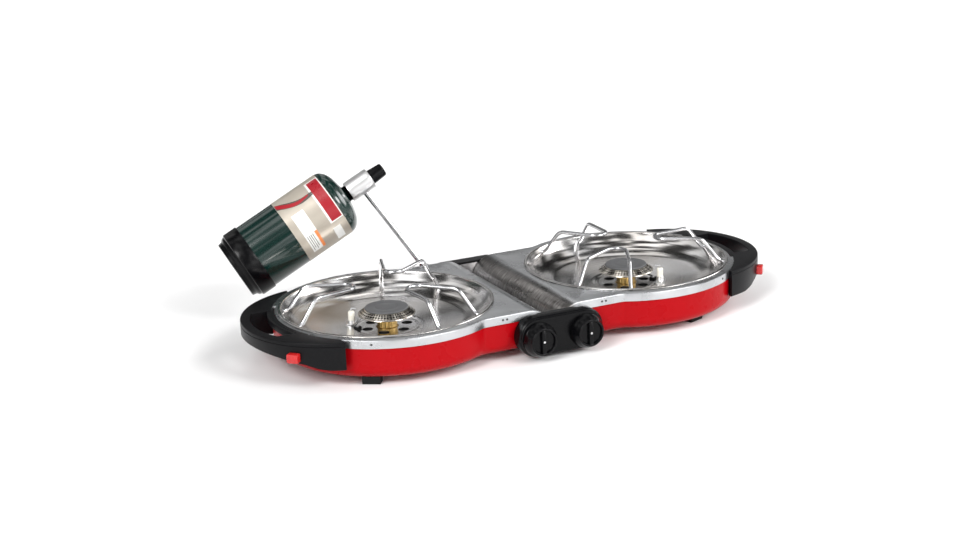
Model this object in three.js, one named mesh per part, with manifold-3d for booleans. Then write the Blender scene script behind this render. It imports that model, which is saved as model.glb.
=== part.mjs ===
// A folding two-burner camp stove with its propane cylinder, in millimetres, +Z up.
// The origin is on the ground under the middle of the centre spine. +X runs to the right burner,
// +Y to the back, where the gas comes in. Each half folds up about its own hinge line beside the spine.
import * as THREE from 'three';
import { mergeVertices } from 'three/addons/utils/BufferGeometryUtils.js';
import Module from 'manifold-3d';

const wasm = await Module();
wasm.setup();

// ---- Driving dimensions ----

const GAP = 0.3; // left between two pieces that touch

// One half, in its own frame: +x points away from the spine.
const PLATE_TOP = 64; // height of the top plate
const SHEET = 1; // steel sheet of the top plate
const HINGE_X = 37.5;
const HINGE_Z = 32;
const ROLL_R = PLATE_TOP - HINGE_Z; // the plate's inner end rolls down about the hinge line
const WAIST = 135.9; // half the plate's width beside the spine
const WAIST_FILLET = 20;
const END_X = 184.1; // centre of the round end
const END_R = 157.4;
const END_STEP = 237 / 32; // degrees between the vertices of the round end
const RECESS_R = 153; // plate edge above the hand gap
const RECESS_DEG = 28;
const BAND_DEPTH = 11.5; // flange round the plate's edge

const CASE_WALL = 1.2;
const CASE_BOTTOM = 11;
const CASE_INNER_X = 15;
const CASE_ROUND = 14; // bottom edge rounding
const CASE_INSET = SHEET + GAP;

const BURNER_X = 186.6; // centre of bowl and burner
const BOWL_R = 142.6; // hole in the plate
const VENT_HOLES = 6;
const VENT_R = 7.4;
const VENT_RING_R = 28.5; // from the burner's centre to each vent

const SUPPORT_RISE = 30; // centre of the pan support's wire above the plate
const WIRE_R = 2.8;
const SUPPORT_DEG = { left: [-5.7, 114.3, -125.7], right: [-13, 107, -133] };

const IGNITER_R = 49;
const IGNITER_DEG = -33;

const HANDLE_X = 254; // centre of the handle's outer arc
const HANDLE_R = 132.5;
const HANDLE_THICK = 13;
const HANDLE_END_X = { front: 283.5, back: 295.5 }; // on the right half
const HAND_GAP = 54; // half its length
const RIM_R = 163; // the handle's inner rim, along the case wall
const BUTTON_DEG = { left: 42.5, right: -40 };
const BUTTON_Z = 44;
const BUTTON_OUT = 8; // how far the button stands out of the handle

const FEET = [[125, -70.5], [137, 57.5]]; // [radius, degrees] about the round end's centre

// The fixed centre: spine, hinge plates, control and rear housings.
const KNOB_X = 35.2;
const KNOB_Z = 30;
const FRONT_HOUSING = { radius: 27.8, step: 153.5, faceRadius: 27, face: 155.5 };
const REAR_HOUSING = { radius: 26, step: 157, faceRadius: 25, face: 158.5 };
const HOUSING_WALL = 2.9;
const HOUSING_BACK = 136.8; // |y| where both housings start
const PIN_R = 6;
const PIPE_Z = 12.5;
const PIPE_R = 3;

// The gas supply: inlet, swivelling arm, regulator and cylinder.
const INLET = new THREE.Vector3(-59, 149.5, 48.2); // where the arm leaves the rear housing
const CYLINDER_BASE = new THREE.Vector3(-320.9, 227.7, 75.7);
const CYLINDER_AXIS = new THREE.Vector3(0.869, -0.112, 0.482).normalize();
const ARM_ALONG = 213; // from the cylinder's base to the arm, along its axis
const ARM_R = 4;
const CYLINDER_R = 49.5;

// ---- Finishes ----

const finish = (color, roughness, metalness) =>
  () => new THREE.MeshStandardMaterial({ color, roughness, metalness });
const redEnamel = finish(0xc81e24, 0.3, 0.1);
const galvanised = finish(0x8c9092, 0.45, 0.9);
const polished = finish(0xd8d8d6, 0.15, 1);
const chrome = finish(0xe4e4e4, 0.08, 1);
const brass = finish(0xb08d45, 0.3, 1);
const castAluminium = finish(0x9a9a96, 0.45, 1);
const steel = finish(0x9fa2a4, 0.35, 1);
const blackPlastic = finish(0x17181a, 0.5, 0);
const blackRubber = finish(0x141414, 0.8, 0);
const redPlastic = finish(0xd8141c, 0.35, 0);
const ceramic = finish(0xf2efe6, 0.3, 0);
const greenEnamel = finish(0x0e3026, 0.25, 0.2);

// ---- Solids ----

const up = new THREE.Vector3(0, 0, 1);
const at = (x, y, z = 0) => new THREE.Vector3(x, y, z);

function polar(radius, degrees, centreX = 0) {
  const angle = THREE.MathUtils.degToRad(degrees);
  return new THREE.Vector2(centreX + radius * Math.cos(angle), radius * Math.sin(angle));
}

// Points of an arc about (centreX, centreY), both ends included.
function arc(centreX, centreY, radius, from, to, steps) {
  const points = [];
  for (let i = 0; i <= steps; i++) {
    const angle = THREE.MathUtils.degToRad(from + ((to - from) * i) / steps);
    points.push(new THREE.Vector2(centreX + radius * Math.cos(angle), centreY + radius * Math.sin(angle)));
  }
  return points;
}

function signedVolume(position, index) {
  const [a, b, c] = [new THREE.Vector3(), new THREE.Vector3(), new THREE.Vector3()];
  let volume = 0;
  for (let i = 0; i < index.length; i += 3) {
    a.fromBufferAttribute(position, index[i]);
    b.fromBufferAttribute(position, index[i + 1]);
    c.fromBufferAttribute(position, index[i + 2]);
    volume += a.dot(b.cross(c)) / 6;
  }
  return volume;
}

// A closed geometry as a solid: shared vertices merged, flat triangles dropped, faces turned outwards.
function solid(geometry) {
  const plain = geometry.clone();
  plain.deleteAttribute('normal');
  plain.deleteAttribute('uv');
  const merged = mergeVertices(plain, 1e-3);
  const source = merged.index.array;
  const position = merged.attributes.position;
  const index = [];
  for (let i = 0; i < source.length; i += 3) {
    const [a, b, c] = [source[i], source[i + 1], source[i + 2]];
    if (a !== b && b !== c && c !== a) index.push(a, b, c);
  }
  if (signedVolume(position, index) < 0) index.reverse();
  const mesh = new wasm.Mesh({
    numProp: 3,
    vertProperties: position.array,
    triVerts: Uint32Array.from(index),
  });
  return new wasm.Manifold(mesh);
}

function geometryOf(body) {
  const mesh = body.getMesh();
  const geometry = new THREE.BufferGeometry();
  geometry.setAttribute('position', new THREE.BufferAttribute(mesh.vertProperties, 3));
  geometry.setIndex(new THREE.BufferAttribute(mesh.triVerts, 1));
  geometry.computeVertexNormals();
  return geometry;
}

// A flat outline raised from z = bottom to z = top.
function slab(outline, bottom, top, holes = []) {
  const shape = new THREE.Shape(outline);
  shape.holes = holes.map((hole) => new THREE.Path(hole));
  const geometry = new THREE.ExtrudeGeometry(shape, { depth: top - bottom, bevelEnabled: false });
  return solid(geometry.translate(0, 0, bottom));
}

// The same with its lower and upper edges rounded inside the outline.
function roundedSlab(outline, bottom, top, radius, segments) {
  const geometry = new THREE.ExtrudeGeometry(new THREE.Shape(outline), {
    depth: top - bottom - 2 * radius,
    bevelThickness: radius,
    bevelSize: radius,
    bevelOffset: -radius,
    bevelSegments: segments,
  });
  return solid(geometry.translate(0, 0, bottom + radius));
}

// An outline in the XZ plane, raised along Y.
function slabAlongY(outline, from, to) {
  const shape = new THREE.Shape(outline);
  const geometry = new THREE.ExtrudeGeometry(shape, { depth: to - from, bevelEnabled: false });
  return solid(geometry.rotateX(Math.PI / 2).translate(0, to, 0));
}

// A profile of [radius, height] points turned about the Z axis. It ends on the axis or closes on itself.
function turned(profile, segments) {
  const points = profile.map(([radius, height]) => new THREE.Vector2(radius, height));
  if (profile[0][0] > 0) points.push(points[0].clone());
  return solid(new THREE.LatheGeometry(points, segments).rotateX(Math.PI / 2));
}

function box(low, high) {
  const size = high.clone().sub(low);
  const centre = low.clone().add(high).multiplyScalar(0.5);
  return solid(new THREE.BoxGeometry(size.x, size.y, size.z).translate(centre.x, centre.y, centre.z));
}

// A round bar from one point to another.
function rod(from, to, radius, sides = 12) {
  const along = to.clone().sub(from);
  const geometry = new THREE.CylinderGeometry(radius, radius, along.length(), sides);
  const turn = new THREE.Quaternion().setFromUnitVectors(at(0, 1, 0), along.clone().normalize());
  const middle = from.clone().add(to).multiplyScalar(0.5);
  return solid(geometry.applyQuaternion(turn).translate(middle.x, middle.y, middle.z));
}

// A path through given points, with one extrusion step to each and a mitre at each corner.
class VertexPath extends THREE.Curve {
  constructor(points) {
    super();
    this.points = points;
    this.steps = points.length - 1;
  }

  getPointAt(u) {
    return this.points[Math.round(u * this.steps)].clone();
  }

  getTangentAt(u) {
    const i = Math.round(u * this.steps);
    const side = (from, to) => this.points[to].clone().sub(this.points[from]).normalize();
    const tangent = at(0, 0, 0);
    if (i > 0) tangent.add(side(i - 1, i));
    if (i < this.steps) tangent.add(side(i, i + 1));
    return tangent.normalize();
  }
}

// A bar or tube along points. A bore makes it a tube with open ends.
function tube(points, radius, sides, bore = 0) {
  const path = new VertexPath(points);
  const shape = new THREE.Shape(arc(0, 0, radius, 0, 360, sides).slice(0, -1));
  if (bore > 0) shape.holes = [new THREE.Path(arc(0, 0, bore, 0, 360, sides).slice(0, -1))];
  return solid(new THREE.ExtrudeGeometry(shape, { steps: path.steps, extrudePath: path }));
}

// The points with each inner corner rounded: `reach` is how far the bend starts from the corner.
function bent(corners, reach, steps = 3) {
  const points = [corners[0]];
  for (let i = 1; i < corners.length - 1; i++) {
    const corner = corners[i];
    const start = corners[i - 1].clone().sub(corner).setLength(reach).add(corner);
    const end = corners[i + 1].clone().sub(corner).setLength(reach).add(corner);
    const bend = new THREE.QuadraticBezierCurve3(start, corner, end);
    points.push(...bend.getPoints(steps));
  }
  points.push(corners[corners.length - 1]);
  return points;
}

function addPiece(parent, name, body, material) {
  const mesh = new THREE.Mesh(geometryOf(body), material());
  mesh.name = name;
  parent.add(mesh);
  return mesh;
}

// ---- Outlines ----

const FILLET_X = END_X - Math.sqrt((END_R + WAIST_FILLET) ** 2 - (WAIST + WAIST_FILLET) ** 2);
const FILLET_DEG = THREE.MathUtils.radToDeg(Math.atan2(WAIST + WAIST_FILLET, END_X - FILLET_X));

// The flange stops just short of the handle's ends.
const bandEnd = (x) => THREE.MathUtils.radToDeg(Math.acos((x - GAP - END_X) / END_R));

// One edge of a half from the waist to the round end at `stopDeg`, on the -y side.
function halfEdge(inset, startX, stopDeg, edgeRadius = () => END_R) {
  const points = [new THREE.Vector2(startX, -(WAIST - inset))];
  points.push(...arc(FILLET_X, -(WAIST + WAIST_FILLET), WAIST_FILLET + inset, 90, FILLET_DEG, 3));
  const first = FILLET_DEG - 180;
  const last = stopDeg - END_STEP / 4;
  for (let degrees = first + END_STEP; degrees < last; degrees += END_STEP) {
    points.push(polar(edgeRadius(degrees) - inset, degrees, END_X));
  }
  points.push(polar(edgeRadius(stopDeg) - inset, stopDeg, END_X));
  return points;
}

const mirrored = (points) => points.map((p) => new THREE.Vector2(p.x, -p.y)).reverse();

// The whole plan outline of one half, stepped in by `inset`.
function halfOutline(inset, startX, edgeRadius) {
  const lower = halfEdge(inset, startX, 0, edgeRadius);
  return [...lower.slice(0, -1), ...mirrored(lower)];
}

function obround(radius) {
  return [...arc(KNOB_X, HINGE_Z, radius, -90, 90, 10), ...arc(-KNOB_X, HINGE_Z, radius, 90, 270, 10)];
}

// ---- One half ----

function topPlate() {
  const recess = (degrees) => (Math.abs(degrees) < RECESS_DEG ? RECESS_R : END_R);
  const hole = arc(BURNER_X, 0, BOWL_R, 0, 360, 48).slice(0, -1);
  let plate = slab(halfOutline(0, HINGE_X, recess), PLATE_TOP - SHEET, PLATE_TOP, [hole]);
  for (const side of [1, -1]) {
    const stop = -bandEnd(side > 0 ? HANDLE_END_X.front : HANDLE_END_X.back);
    const outer = halfEdge(0, HINGE_X, stop);
    const inner = halfEdge(SHEET, HINGE_X, stop);
    const strip = [...outer, ...inner.reverse()].map((p) => new THREE.Vector2(p.x, side * p.y));
    plate = plate.add(slab(strip, PLATE_TOP - BAND_DEPTH, PLATE_TOP));
  }
  const overlap = new THREE.Vector2(HINGE_X + 2, PLATE_TOP);
  const roll = [
    overlap,
    ...arc(HINGE_X, HINGE_Z, ROLL_R, 90, 180, 9),
    ...arc(HINGE_X, HINGE_Z, ROLL_R - SHEET, 180, 90, 9),
    overlap.clone().setY(PLATE_TOP - SHEET),
  ];
  plate = plate.add(slabAlongY(roll, -WAIST, WAIST));
  const cheek = [
    overlap,
    ...arc(HINGE_X, HINGE_Z, ROLL_R, 90, 180, 9),
    ...arc(HINGE_X, HINGE_Z, ROLL_R - BAND_DEPTH, 180, 90, 9),
    overlap.clone().setY(PLATE_TOP - BAND_DEPTH),
  ];
  for (const y of [-WAIST, WAIST - SHEET]) {
    plate = plate.add(slabAlongY(cheek, y, y + SHEET));
  }
  return plate;
}

// The space the case takes up, open above, grown by `grow`.
function caseEnvelope(inset, bottom, round) {
  return roundedSlab(halfOutline(inset, CASE_INNER_X + inset - CASE_INSET, undefined), bottom, 90, round, 2);
}

function caseShell(buttonDeg) {
  const outer = caseEnvelope(CASE_INSET, CASE_BOTTOM, CASE_ROUND);
  const inner = caseEnvelope(CASE_INSET + CASE_WALL, CASE_BOTTOM + CASE_WALL, CASE_ROUND - CASE_WALL);
  const top = PLATE_TOP - SHEET - GAP;
  const keep = box(at(HINGE_X, -200, 0), at(400, 200, top)).add(
    rod(at(HINGE_X, -200, HINGE_Z), at(HINGE_X, 200, HINGE_Z), ROLL_R - SHEET - GAP, 40),
  );
  const pinHole = rod(at(HINGE_X, -200, HINGE_Z), at(HINGE_X, 200, HINGE_Z), PIN_R + GAP, 16);
  return outer.subtract(inner).intersect(keep).subtract(pinHole).subtract(leadHole(buttonDeg));
}

// Bowl, with its depth measured down from the plate. Its bead rests on the plate round the hole.
const BOWL_INSIDE = [
  [15.6, -32.5], [42, -32.5], [46, -30.5], [84, -26], [106, -23.2], [120, -18],
  [132, -10.2], [140.3, -0.8], [142, 2.2], [146, 2],
];
const BOWL_OUTSIDE = [
  [147, GAP], [142.2, GAP], [141.3, -1.2], [132.8, -11.2], [120.4, -19.1], [106.2, -24.2],
  [84, -27], [46.4, -31.5], [42.4, -33.5], [15.6, -33.5],
];

function bowl(supportFeet) {
  let body = turned([...BOWL_INSIDE, ...BOWL_OUTSIDE], 32);
  for (let i = 0; i < VENT_HOLES; i++) {
    const spot = polar(VENT_RING_R, 58 + (360 / VENT_HOLES) * i);
    body = body.subtract(rod(at(spot.x, spot.y, -40), at(spot.x, spot.y, -25), VENT_R, 8));
  }
  const spot = polar(IGNITER_R, IGNITER_DEG);
  body = body.subtract(rod(at(spot.x, spot.y, -40), at(spot.x, spot.y, -25), 2.7, 6));
  for (const [from, to] of supportFeet) {
    body = body.subtract(rod(from, to, WIRE_R + 2 * GAP, 6));
  }
  return body;
}

// A pan support in its own frame: x outwards, both feet pushed through the bowl wall.
const SUPPORT_FOOT = at(128.3, 36.8, -3.4);
const SUPPORT_END = at(136.6, 39.16, -3.4);

function panSupport() {
  const tipX = 59.4;
  const tipR = 14.9;
  const side = [SUPPORT_END, SUPPORT_FOOT, at(103.8, 30, SUPPORT_RISE)];
  const tip = arc(tipX, 0, tipR, 108, 252, 6).map((p) => at(p.x, p.y, SUPPORT_RISE));
  const half = bent([...side, tip[0]], 5);
  const other = half.map((p) => at(p.x, -p.y, p.z)).reverse();
  return tube([...half, ...tip.slice(1, -1), ...other], WIRE_R, 6);
}

function supportFeet(degrees) {
  const feet = [];
  for (const side of [1, -1]) {
    for (const turn of degrees) {
      const along = SUPPORT_END.clone().sub(SUPPORT_FOOT).setLength(8);
      const ends = [SUPPORT_FOOT.clone(), SUPPORT_END.clone().add(along)];
      ends.forEach((p) => p.setY(side * p.y).applyAxisAngle(up, THREE.MathUtils.degToRad(turn)));
      feet.push(ends);
    }
  }
  return feet;
}

// Burner pieces, with heights measured from the plate.
const BASE_FLANGE = -33.8;
const NECK_R = 13.6;
const CAP_R = 29.6;
const BASE_BOTTOM = 13 - PLATE_TOP;
const TUBE_END = 16.8; // from the burner's centre to the end of the mixing tube

function burnerBase() {
  const body = turned(
    [
      [0, BASE_BOTTOM], [16, BASE_BOTTOM], [16, BASE_FLANGE - 2.5], [20, BASE_FLANGE - 2.5],
      [20, BASE_FLANGE], [15.2, BASE_FLANGE], [15.2, -32], [NECK_R, -32], [NECK_R, -15.3], [10.5, -15.3],
      [10.5, BASE_BOTTOM + 2], [0, BASE_BOTTOM + 2],
    ],
    16,
  );
  const inward = polar(30, MIXING_DEG + 180);
  const height = MIXING_END_Z - PLATE_TOP;
  return body.subtract(rod(at(0, 0, height), at(inward.x, inward.y, height), MIXING_BORE, 10));
}

function burnerHead() {
  return turned(
    [
      [10.5, -15], [38.4, -15], [39.2, -14.2], [39.2, -12.6], [CAP_R + 0.2, -6.8], [CAP_R - 2.6, -6.8],
      [34.5, -13.2], [10.5, -13.2],
    ],
    24,
  );
}

function burnerCap() {
  const plug = CAP_R - 3.4;
  const edge = [[CAP_R, -6.5], [CAP_R, -5.4], [CAP_R - 1.4, -4.6]];
  return turned([[0, -9], [plug, -9], [plug, -6.5], ...edge, [0, -4.6]], 24);
}

// The mixing tube starts behind the hollow hinge pin, so the jet stays lined up as the half folds.
const MIXING_DEG = 33.9;
const MIXING_R = 7;
const MIXING_BORE = 5.6;
const MIXING_END_Z = 20.5;

function mixingTube() {
  const end = polar(TUBE_END, MIXING_DEG + 180);
  const bendStart = at(HINGE_X, -112, HINGE_Z);
  const bend = at(HINGE_X, -100.2, HINGE_Z - 1);
  const stop = at(BURNER_X + end.x, end.y, MIXING_END_Z);
  const points = bent([at(HINGE_X, -127.3, HINGE_Z), bend, stop], bendStart.distanceTo(bend), 4);
  return tube(points, MIXING_R, 10, MIXING_BORE);
}

function igniterCeramic() {
  return turned([[0, -38], [2.2, -38], [2.2, -29], [4.6, -29], [4.6, -13], [3.4, -11.6], [0, -11.6]], 12);
}

function electrode() {
  const corners = [at(0, 0, -11.3), at(0, 0, -7.6), at(-6.5, 0, -8.2)];
  return tube(bent(corners, 2), 0.9, 6);
}

// A frame on the handle's outer arc at `degrees`: z points outwards, y up.
function onHandle(degrees, along, height) {
  const outwards = polar(1, degrees);
  const direction = at(outwards.x, outwards.y);
  const side = new THREE.Vector3().crossVectors(up, direction);
  const spot = polar(along, degrees, HANDLE_X);
  return new THREE.Matrix4().makeBasis(side, up, direction).setPosition(spot.x, spot.y, height);
}

function handleRod(degrees, from, to, radius, sides) {
  const frame = onHandle(degrees, 0, BUTTON_Z);
  return rod(at(0, 0, from).applyMatrix4(frame), at(0, 0, to).applyMatrix4(frame), radius, sides);
}

const PIEZO_INNER = HANDLE_R - 27;
const PIEZO_OUTER = HANDLE_R - 13.6;
const PIEZO_R = 5.5;
const BUTTON_SIZE = new THREE.Vector2(16, 12);
const BUTTON_BURIED = 5.7;

const leadHole = (degrees) => handleRod(degrees, HANDLE_R - 71, PIEZO_INNER, 2, 8);

function roundedRectangle(width, height, radius) {
  const x = width / 2 - radius;
  const y = height / 2 - radius;
  return [
    ...arc(x, y, radius, 0, 90, 3), ...arc(-x, y, radius, 90, 180, 3),
    ...arc(-x, -y, radius, 180, 270, 3), ...arc(x, -y, radius, 270, 360, 3),
  ];
}

function buttonPrism(grow, depth, bevel) {
  const outline = roundedRectangle(BUTTON_SIZE.x + grow, BUTTON_SIZE.y + grow, 2);
  return new THREE.ExtrudeGeometry(new THREE.Shape(outline), {
    depth: depth - bevel,
    bevelEnabled: bevel > 0,
    bevelThickness: bevel,
    bevelSize: bevel,
    bevelOffset: -bevel,
    bevelSegments: 1,
  });
}

function handle(buttonDeg) {
  const wallR = END_R - CASE_INSET + GAP;
  const outerAngle = (x) => THREE.MathUtils.radToDeg(Math.acos((x - HANDLE_X) / HANDLE_R));
  const wallAngle = (x) => THREE.MathUtils.radToDeg(Math.acos((x - END_X) / wallR));
  const { front, back } = HANDLE_END_X;
  const outline = [
    ...arc(HANDLE_X, 0, HANDLE_R, -outerAngle(front), outerAngle(back), 20),
    ...arc(END_X, 0, wallR, wallAngle(back), -wallAngle(front), 14),
  ];
  const gripR = HANDLE_R - HANDLE_THICK;
  const gripAngle = THREE.MathUtils.radToDeg(Math.asin(HAND_GAP / gripR));
  const rimAngle = THREE.MathUtils.radToDeg(Math.asin(HAND_GAP / RIM_R));
  const handGap = [
    ...arc(HANDLE_X, 0, gripR, -gripAngle, gripAngle, 8),
    ...arc(END_X, 0, RIM_R, rimAngle, -rimAngle, 6),
  ];
  // Seen from the front the band is deepest at the case and shallowest at its far end.
  const side = [
    at(270, 26.5), at(314, 26.5), at(328, 29), at(341, 34), at(360, 38.3), at(390, 45),
    at(390, PLATE_TOP), at(270, PLATE_TOP),
  ].map((p) => new THREE.Vector2(p.x, p.y));
  const plateEdge = arc(END_X, 0, END_R + GAP, 0, 360, 96).slice(0, -1);
  const pocketFloor = BUTTON_BURIED + 4.1;
  const pocketPlace = onHandle(buttonDeg, HANDLE_R - pocketFloor, BUTTON_Z);
  const pocket = buttonPrism(2 * GAP, 30, 0).applyMatrix4(pocketPlace);
  return slab(outline, 20, 70, [handGap])
    .intersect(slabAlongY(side, -150, 150))
    .subtract(slab(plateEdge, PLATE_TOP - SHEET - GAP, 80))
    .subtract(box(at(325, -HAND_GAP, 15), at(352, HAND_GAP, PLATE_TOP - 10)))
    .subtract(solid(pocket))
    .subtract(handleRod(buttonDeg, PIEZO_INNER - GAP, HANDLE_R - 9, PIEZO_R + GAP, 12))
    .subtract(leadHole(buttonDeg));
}

function igniterLead(buttonDeg) {
  const spot = polar(IGNITER_R, IGNITER_DEG, BURNER_X);
  const side = Math.sign(buttonDeg);
  const inCase = handleRodPoint(buttonDeg, HANDLE_R - 44);
  const corners = [
    handleRodPoint(buttonDeg, PIEZO_INNER - GAP), inCase, at(308, side * 44, 20),
    at(244, (side * 44 + spot.y) / 2, 18), at(spot.x, spot.y, 18), at(spot.x, spot.y, PLATE_TOP - 38 - GAP),
  ];
  return tube(bent(corners, 4, 2), 1.2, 6);
}

function handleRodPoint(degrees, along) {
  return at(0, 0, along).applyMatrix4(onHandle(degrees, 0, BUTTON_Z));
}

function foot(radius, degrees) {
  const radial = [at(-10, 14), at(-8, 0), at(7, 0), at(10, 14)].map((p) => new THREE.Vector2(p.x, p.y));
  const block = geometryOf(slabAlongY(radial, -12, 12)).translate(radius, 0, 0);
  block.rotateZ(THREE.MathUtils.degToRad(degrees)).translate(END_X, 0, 0);
  return solid(block).subtract(caseEnvelope(CASE_INSET - GAP, CASE_BOTTOM - GAP, CASE_ROUND));
}

function buildHalf(side) {
  const half = new THREE.Group();
  half.rotation.z = side === 'left' ? Math.PI : 0;
  const buttonDeg = BUTTON_DEG[side];
  addPiece(half, `${side}_case`, caseShell(buttonDeg), redEnamel);
  addPiece(half, `${side}_top_plate`, topPlate(), galvanised);
  addPiece(half, `${side}_mixing_tube`, mixingTube(), steel);
  addPiece(half, `${side}_handle`, handle(buttonDeg), blackPlastic);
  addPiece(half, `${side}_igniter_lead`, igniterLead(buttonDeg), blackRubber);
  const piezo = handleRod(buttonDeg, PIEZO_INNER, PIEZO_OUTER, PIEZO_R, 12);
  addPiece(half, `${side}_piezo_igniter`, piezo, blackPlastic);
  const feet = side === 'left' ? ['back', 'front'] : ['front', 'back'];
  FEET.forEach(([radius, degrees], i) =>
    addPiece(half, `${side}_${feet[i]}_foot`, foot(radius, degrees), blackRubber));

  const button = solid(buttonPrism(0, BUTTON_OUT + BUTTON_BURIED, 1));
  const cap = addPiece(half, `${side}_igniter_button`, button, redPlastic);
  cap.applyMatrix4(onHandle(buttonDeg, HANDLE_R - BUTTON_BURIED, BUTTON_Z));

  const burner = new THREE.Group();
  burner.position.set(BURNER_X, 0, PLATE_TOP);
  half.add(burner);
  addPiece(burner, `${side}_bowl`, bowl(supportFeet(SUPPORT_DEG[side])), polished);
  addPiece(burner, `${side}_burner_base`, burnerBase(), brass);
  addPiece(burner, `${side}_burner_head`, burnerHead(), castAluminium);
  addPiece(burner, `${side}_burner_cap`, burnerCap(), castAluminium);
  SUPPORT_DEG[side].forEach((degrees, i) => {
    const wire = addPiece(burner, `${side}_pan_support_${i + 1}`, panSupport(), chrome);
    wire.rotation.z = THREE.MathUtils.degToRad(degrees);
  });

  const igniter = new THREE.Group();
  const spot = polar(IGNITER_R, IGNITER_DEG);
  igniter.position.set(spot.x, spot.y, 0);
  igniter.rotation.z = THREE.MathUtils.degToRad(IGNITER_DEG);
  burner.add(igniter);
  addPiece(igniter, `${side}_igniter_insulator`, igniterCeramic(), ceramic);
  addPiece(igniter, `${side}_electrode`, electrode(), steel);
  return half;
}

// ---- The fixed centre ----

function housing({ radius, step, faceRadius, face }, sign) {
  const span = (a, b) => [sign * a, sign * b].sort((low, high) => low - high);
  return slabAlongY(obround(radius), ...span(HOUSING_BACK, step))
    .add(slabAlongY(obround(faceRadius), ...span(step - 1, face)))
    .subtract(slabAlongY(obround(radius - HOUSING_WALL), ...span(HOUSING_BACK - 1, face - 3)));
}

function hingePlate({ radius }, sign) {
  const ys = [sign * HOUSING_BACK, sign * (HOUSING_BACK + 2.4)].sort((low, high) => low - high);
  let plate = slabAlongY(obround(radius - HOUSING_WALL - GAP), ...ys);
  for (const side of [1, -1]) {
    const pinRoot = at(side * HINGE_X, sign * (HOUSING_BACK + 1), HINGE_Z);
    plate = plate.add(rod(pinRoot, at(side * HINGE_X, sign * 129, HINGE_Z), PIN_R, 16));
    if (sign < 0) {
      const from = at(side * HINGE_X, sign * 125, HINGE_Z);
      plate = plate.subtract(rod(from, at(side * HINGE_X, sign * 145, HINGE_Z), 3.3, 12));
    }
  }
  return plate.subtract(rod(at(0, sign * 130, PIPE_Z), at(0, sign * 145, PIPE_Z), PIPE_R + 0.4, 12));
}

function centreSpine() {
  const channel = [
    [-9, 0], [9, 0], [9, 12], [7.5, 12], [7.5, 1.5], [-7.5, 1.5], [-7.5, 12], [-9, 12],
  ].map(([x, z]) => new THREE.Vector2(x, z));
  return slabAlongY(channel, -(HOUSING_BACK - GAP), HOUSING_BACK - GAP);
}

const VALVE_R = 8;
const VALVE_FRONT = -152; // where its stem comes out
const KNOB_Y = -(FRONT_HOUSING.face + GAP);
const STEM_DEPTH = 7; // how far the stem goes into the knob

function valve(side) {
  const body = rod(at(side * KNOB_X, VALVE_FRONT, KNOB_Z), at(side * KNOB_X, -140.5, KNOB_Z), VALVE_R, 16);
  return body.add(rod(at(side * HINGE_X, -141, HINGE_Z), at(side * HINGE_X, -131, HINGE_Z), 2.9, 10));
}

const ARM_END = CYLINDER_BASE.clone().addScaledVector(CYLINDER_AXIS, ARM_ALONG);
const ARM_DIRECTION = ARM_END.clone().sub(INLET).normalize();
const onArm = (along) => INLET.clone().addScaledVector(ARM_DIRECTION, along);

// One pipe from the inlet along the spine, with a branch up to each valve.
function gasManifold() {
  const y = -146;
  const route = bent(
    [at(0, y, PIPE_Z), at(0, 147, PIPE_Z), at(-36, 144, 20), onArm(-19), onArm(-14 - GAP)],
    4,
  );
  let pipe = tube(route, PIPE_R, 8);
  pipe = pipe.add(rod(at(-KNOB_X - 2, y, PIPE_Z), at(KNOB_X + 2, y, PIPE_Z), PIPE_R, 8));
  for (const side of [1, -1]) {
    const top = KNOB_Z - VALVE_R - GAP;
    pipe = pipe.add(rod(at(side * KNOB_X, y, PIPE_Z), at(side * KNOB_X, y, top), PIPE_R, 8));
  }
  return pipe;
}

function knob() {
  const body = turned(
    [
      [0, 0], [23.5, 0], [23.5, 3.5], [21.8, 9.4], [18.6, 15], [18.6, 16.2], [15.8, 16.2], [15.2, 12],
      [0, 12],
    ],
    24,
  );
  const grip = box(at(-3.4, -16.6, 11), at(3.4, 16.6, 16.2));
  return body.add(grip).subtract(rod(at(0, 0, -1), at(0, 0, STEM_DEPTH + GAP), 4.4, 12));
}

function buildCentre() {
  const centre = new THREE.Group();
  const stemHoles = [1, -1].map((side) =>
    rod(at(side * KNOB_X, -165, KNOB_Z), at(side * KNOB_X, -150, KNOB_Z), 4.5, 12));
  const control = housing(FRONT_HOUSING, -1).subtract(stemHoles[0]).subtract(stemHoles[1]);
  addPiece(centre, 'control_housing', control, blackPlastic);
  const inletHole = rod(onArm(-18), onArm(10), 5.8, 12);
  addPiece(centre, 'rear_housing', housing(REAR_HOUSING, 1).subtract(inletHole), blackPlastic);
  addPiece(centre, 'front_hinge_plate', hingePlate(FRONT_HOUSING, -1), steel);
  addPiece(centre, 'rear_hinge_plate', hingePlate(REAR_HOUSING, 1), steel);
  addPiece(centre, 'centre_spine', centreSpine(), galvanised);
  addPiece(centre, 'gas_manifold', gasManifold(), brass);
  addPiece(centre, 'inlet_fitting', rod(onArm(-14), onArm(5.5), 5.4, 12), brass);
  for (const [name, side] of [['left', -1], ['right', 1]]) {
    addPiece(centre, `${name}_valve`, valve(side), brass);
    const stemEnd = at(side * KNOB_X, KNOB_Y - STEM_DEPTH, KNOB_Z);
    const stem = rod(stemEnd, at(side * KNOB_X, VALVE_FRONT - GAP, KNOB_Z), 4, 12);
    addPiece(centre, `${name}_valve_stem`, stem, brass);
    const turnKnob = addPiece(centre, `${name}_knob`, knob(), blackPlastic);
    turnKnob.position.set(side * KNOB_X, KNOB_Y, KNOB_Z);
    turnKnob.rotation.x = Math.PI / 2;
  }
  return centre;
}

// ---- The gas supply, turned about the cylinder's own axis ----

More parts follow.
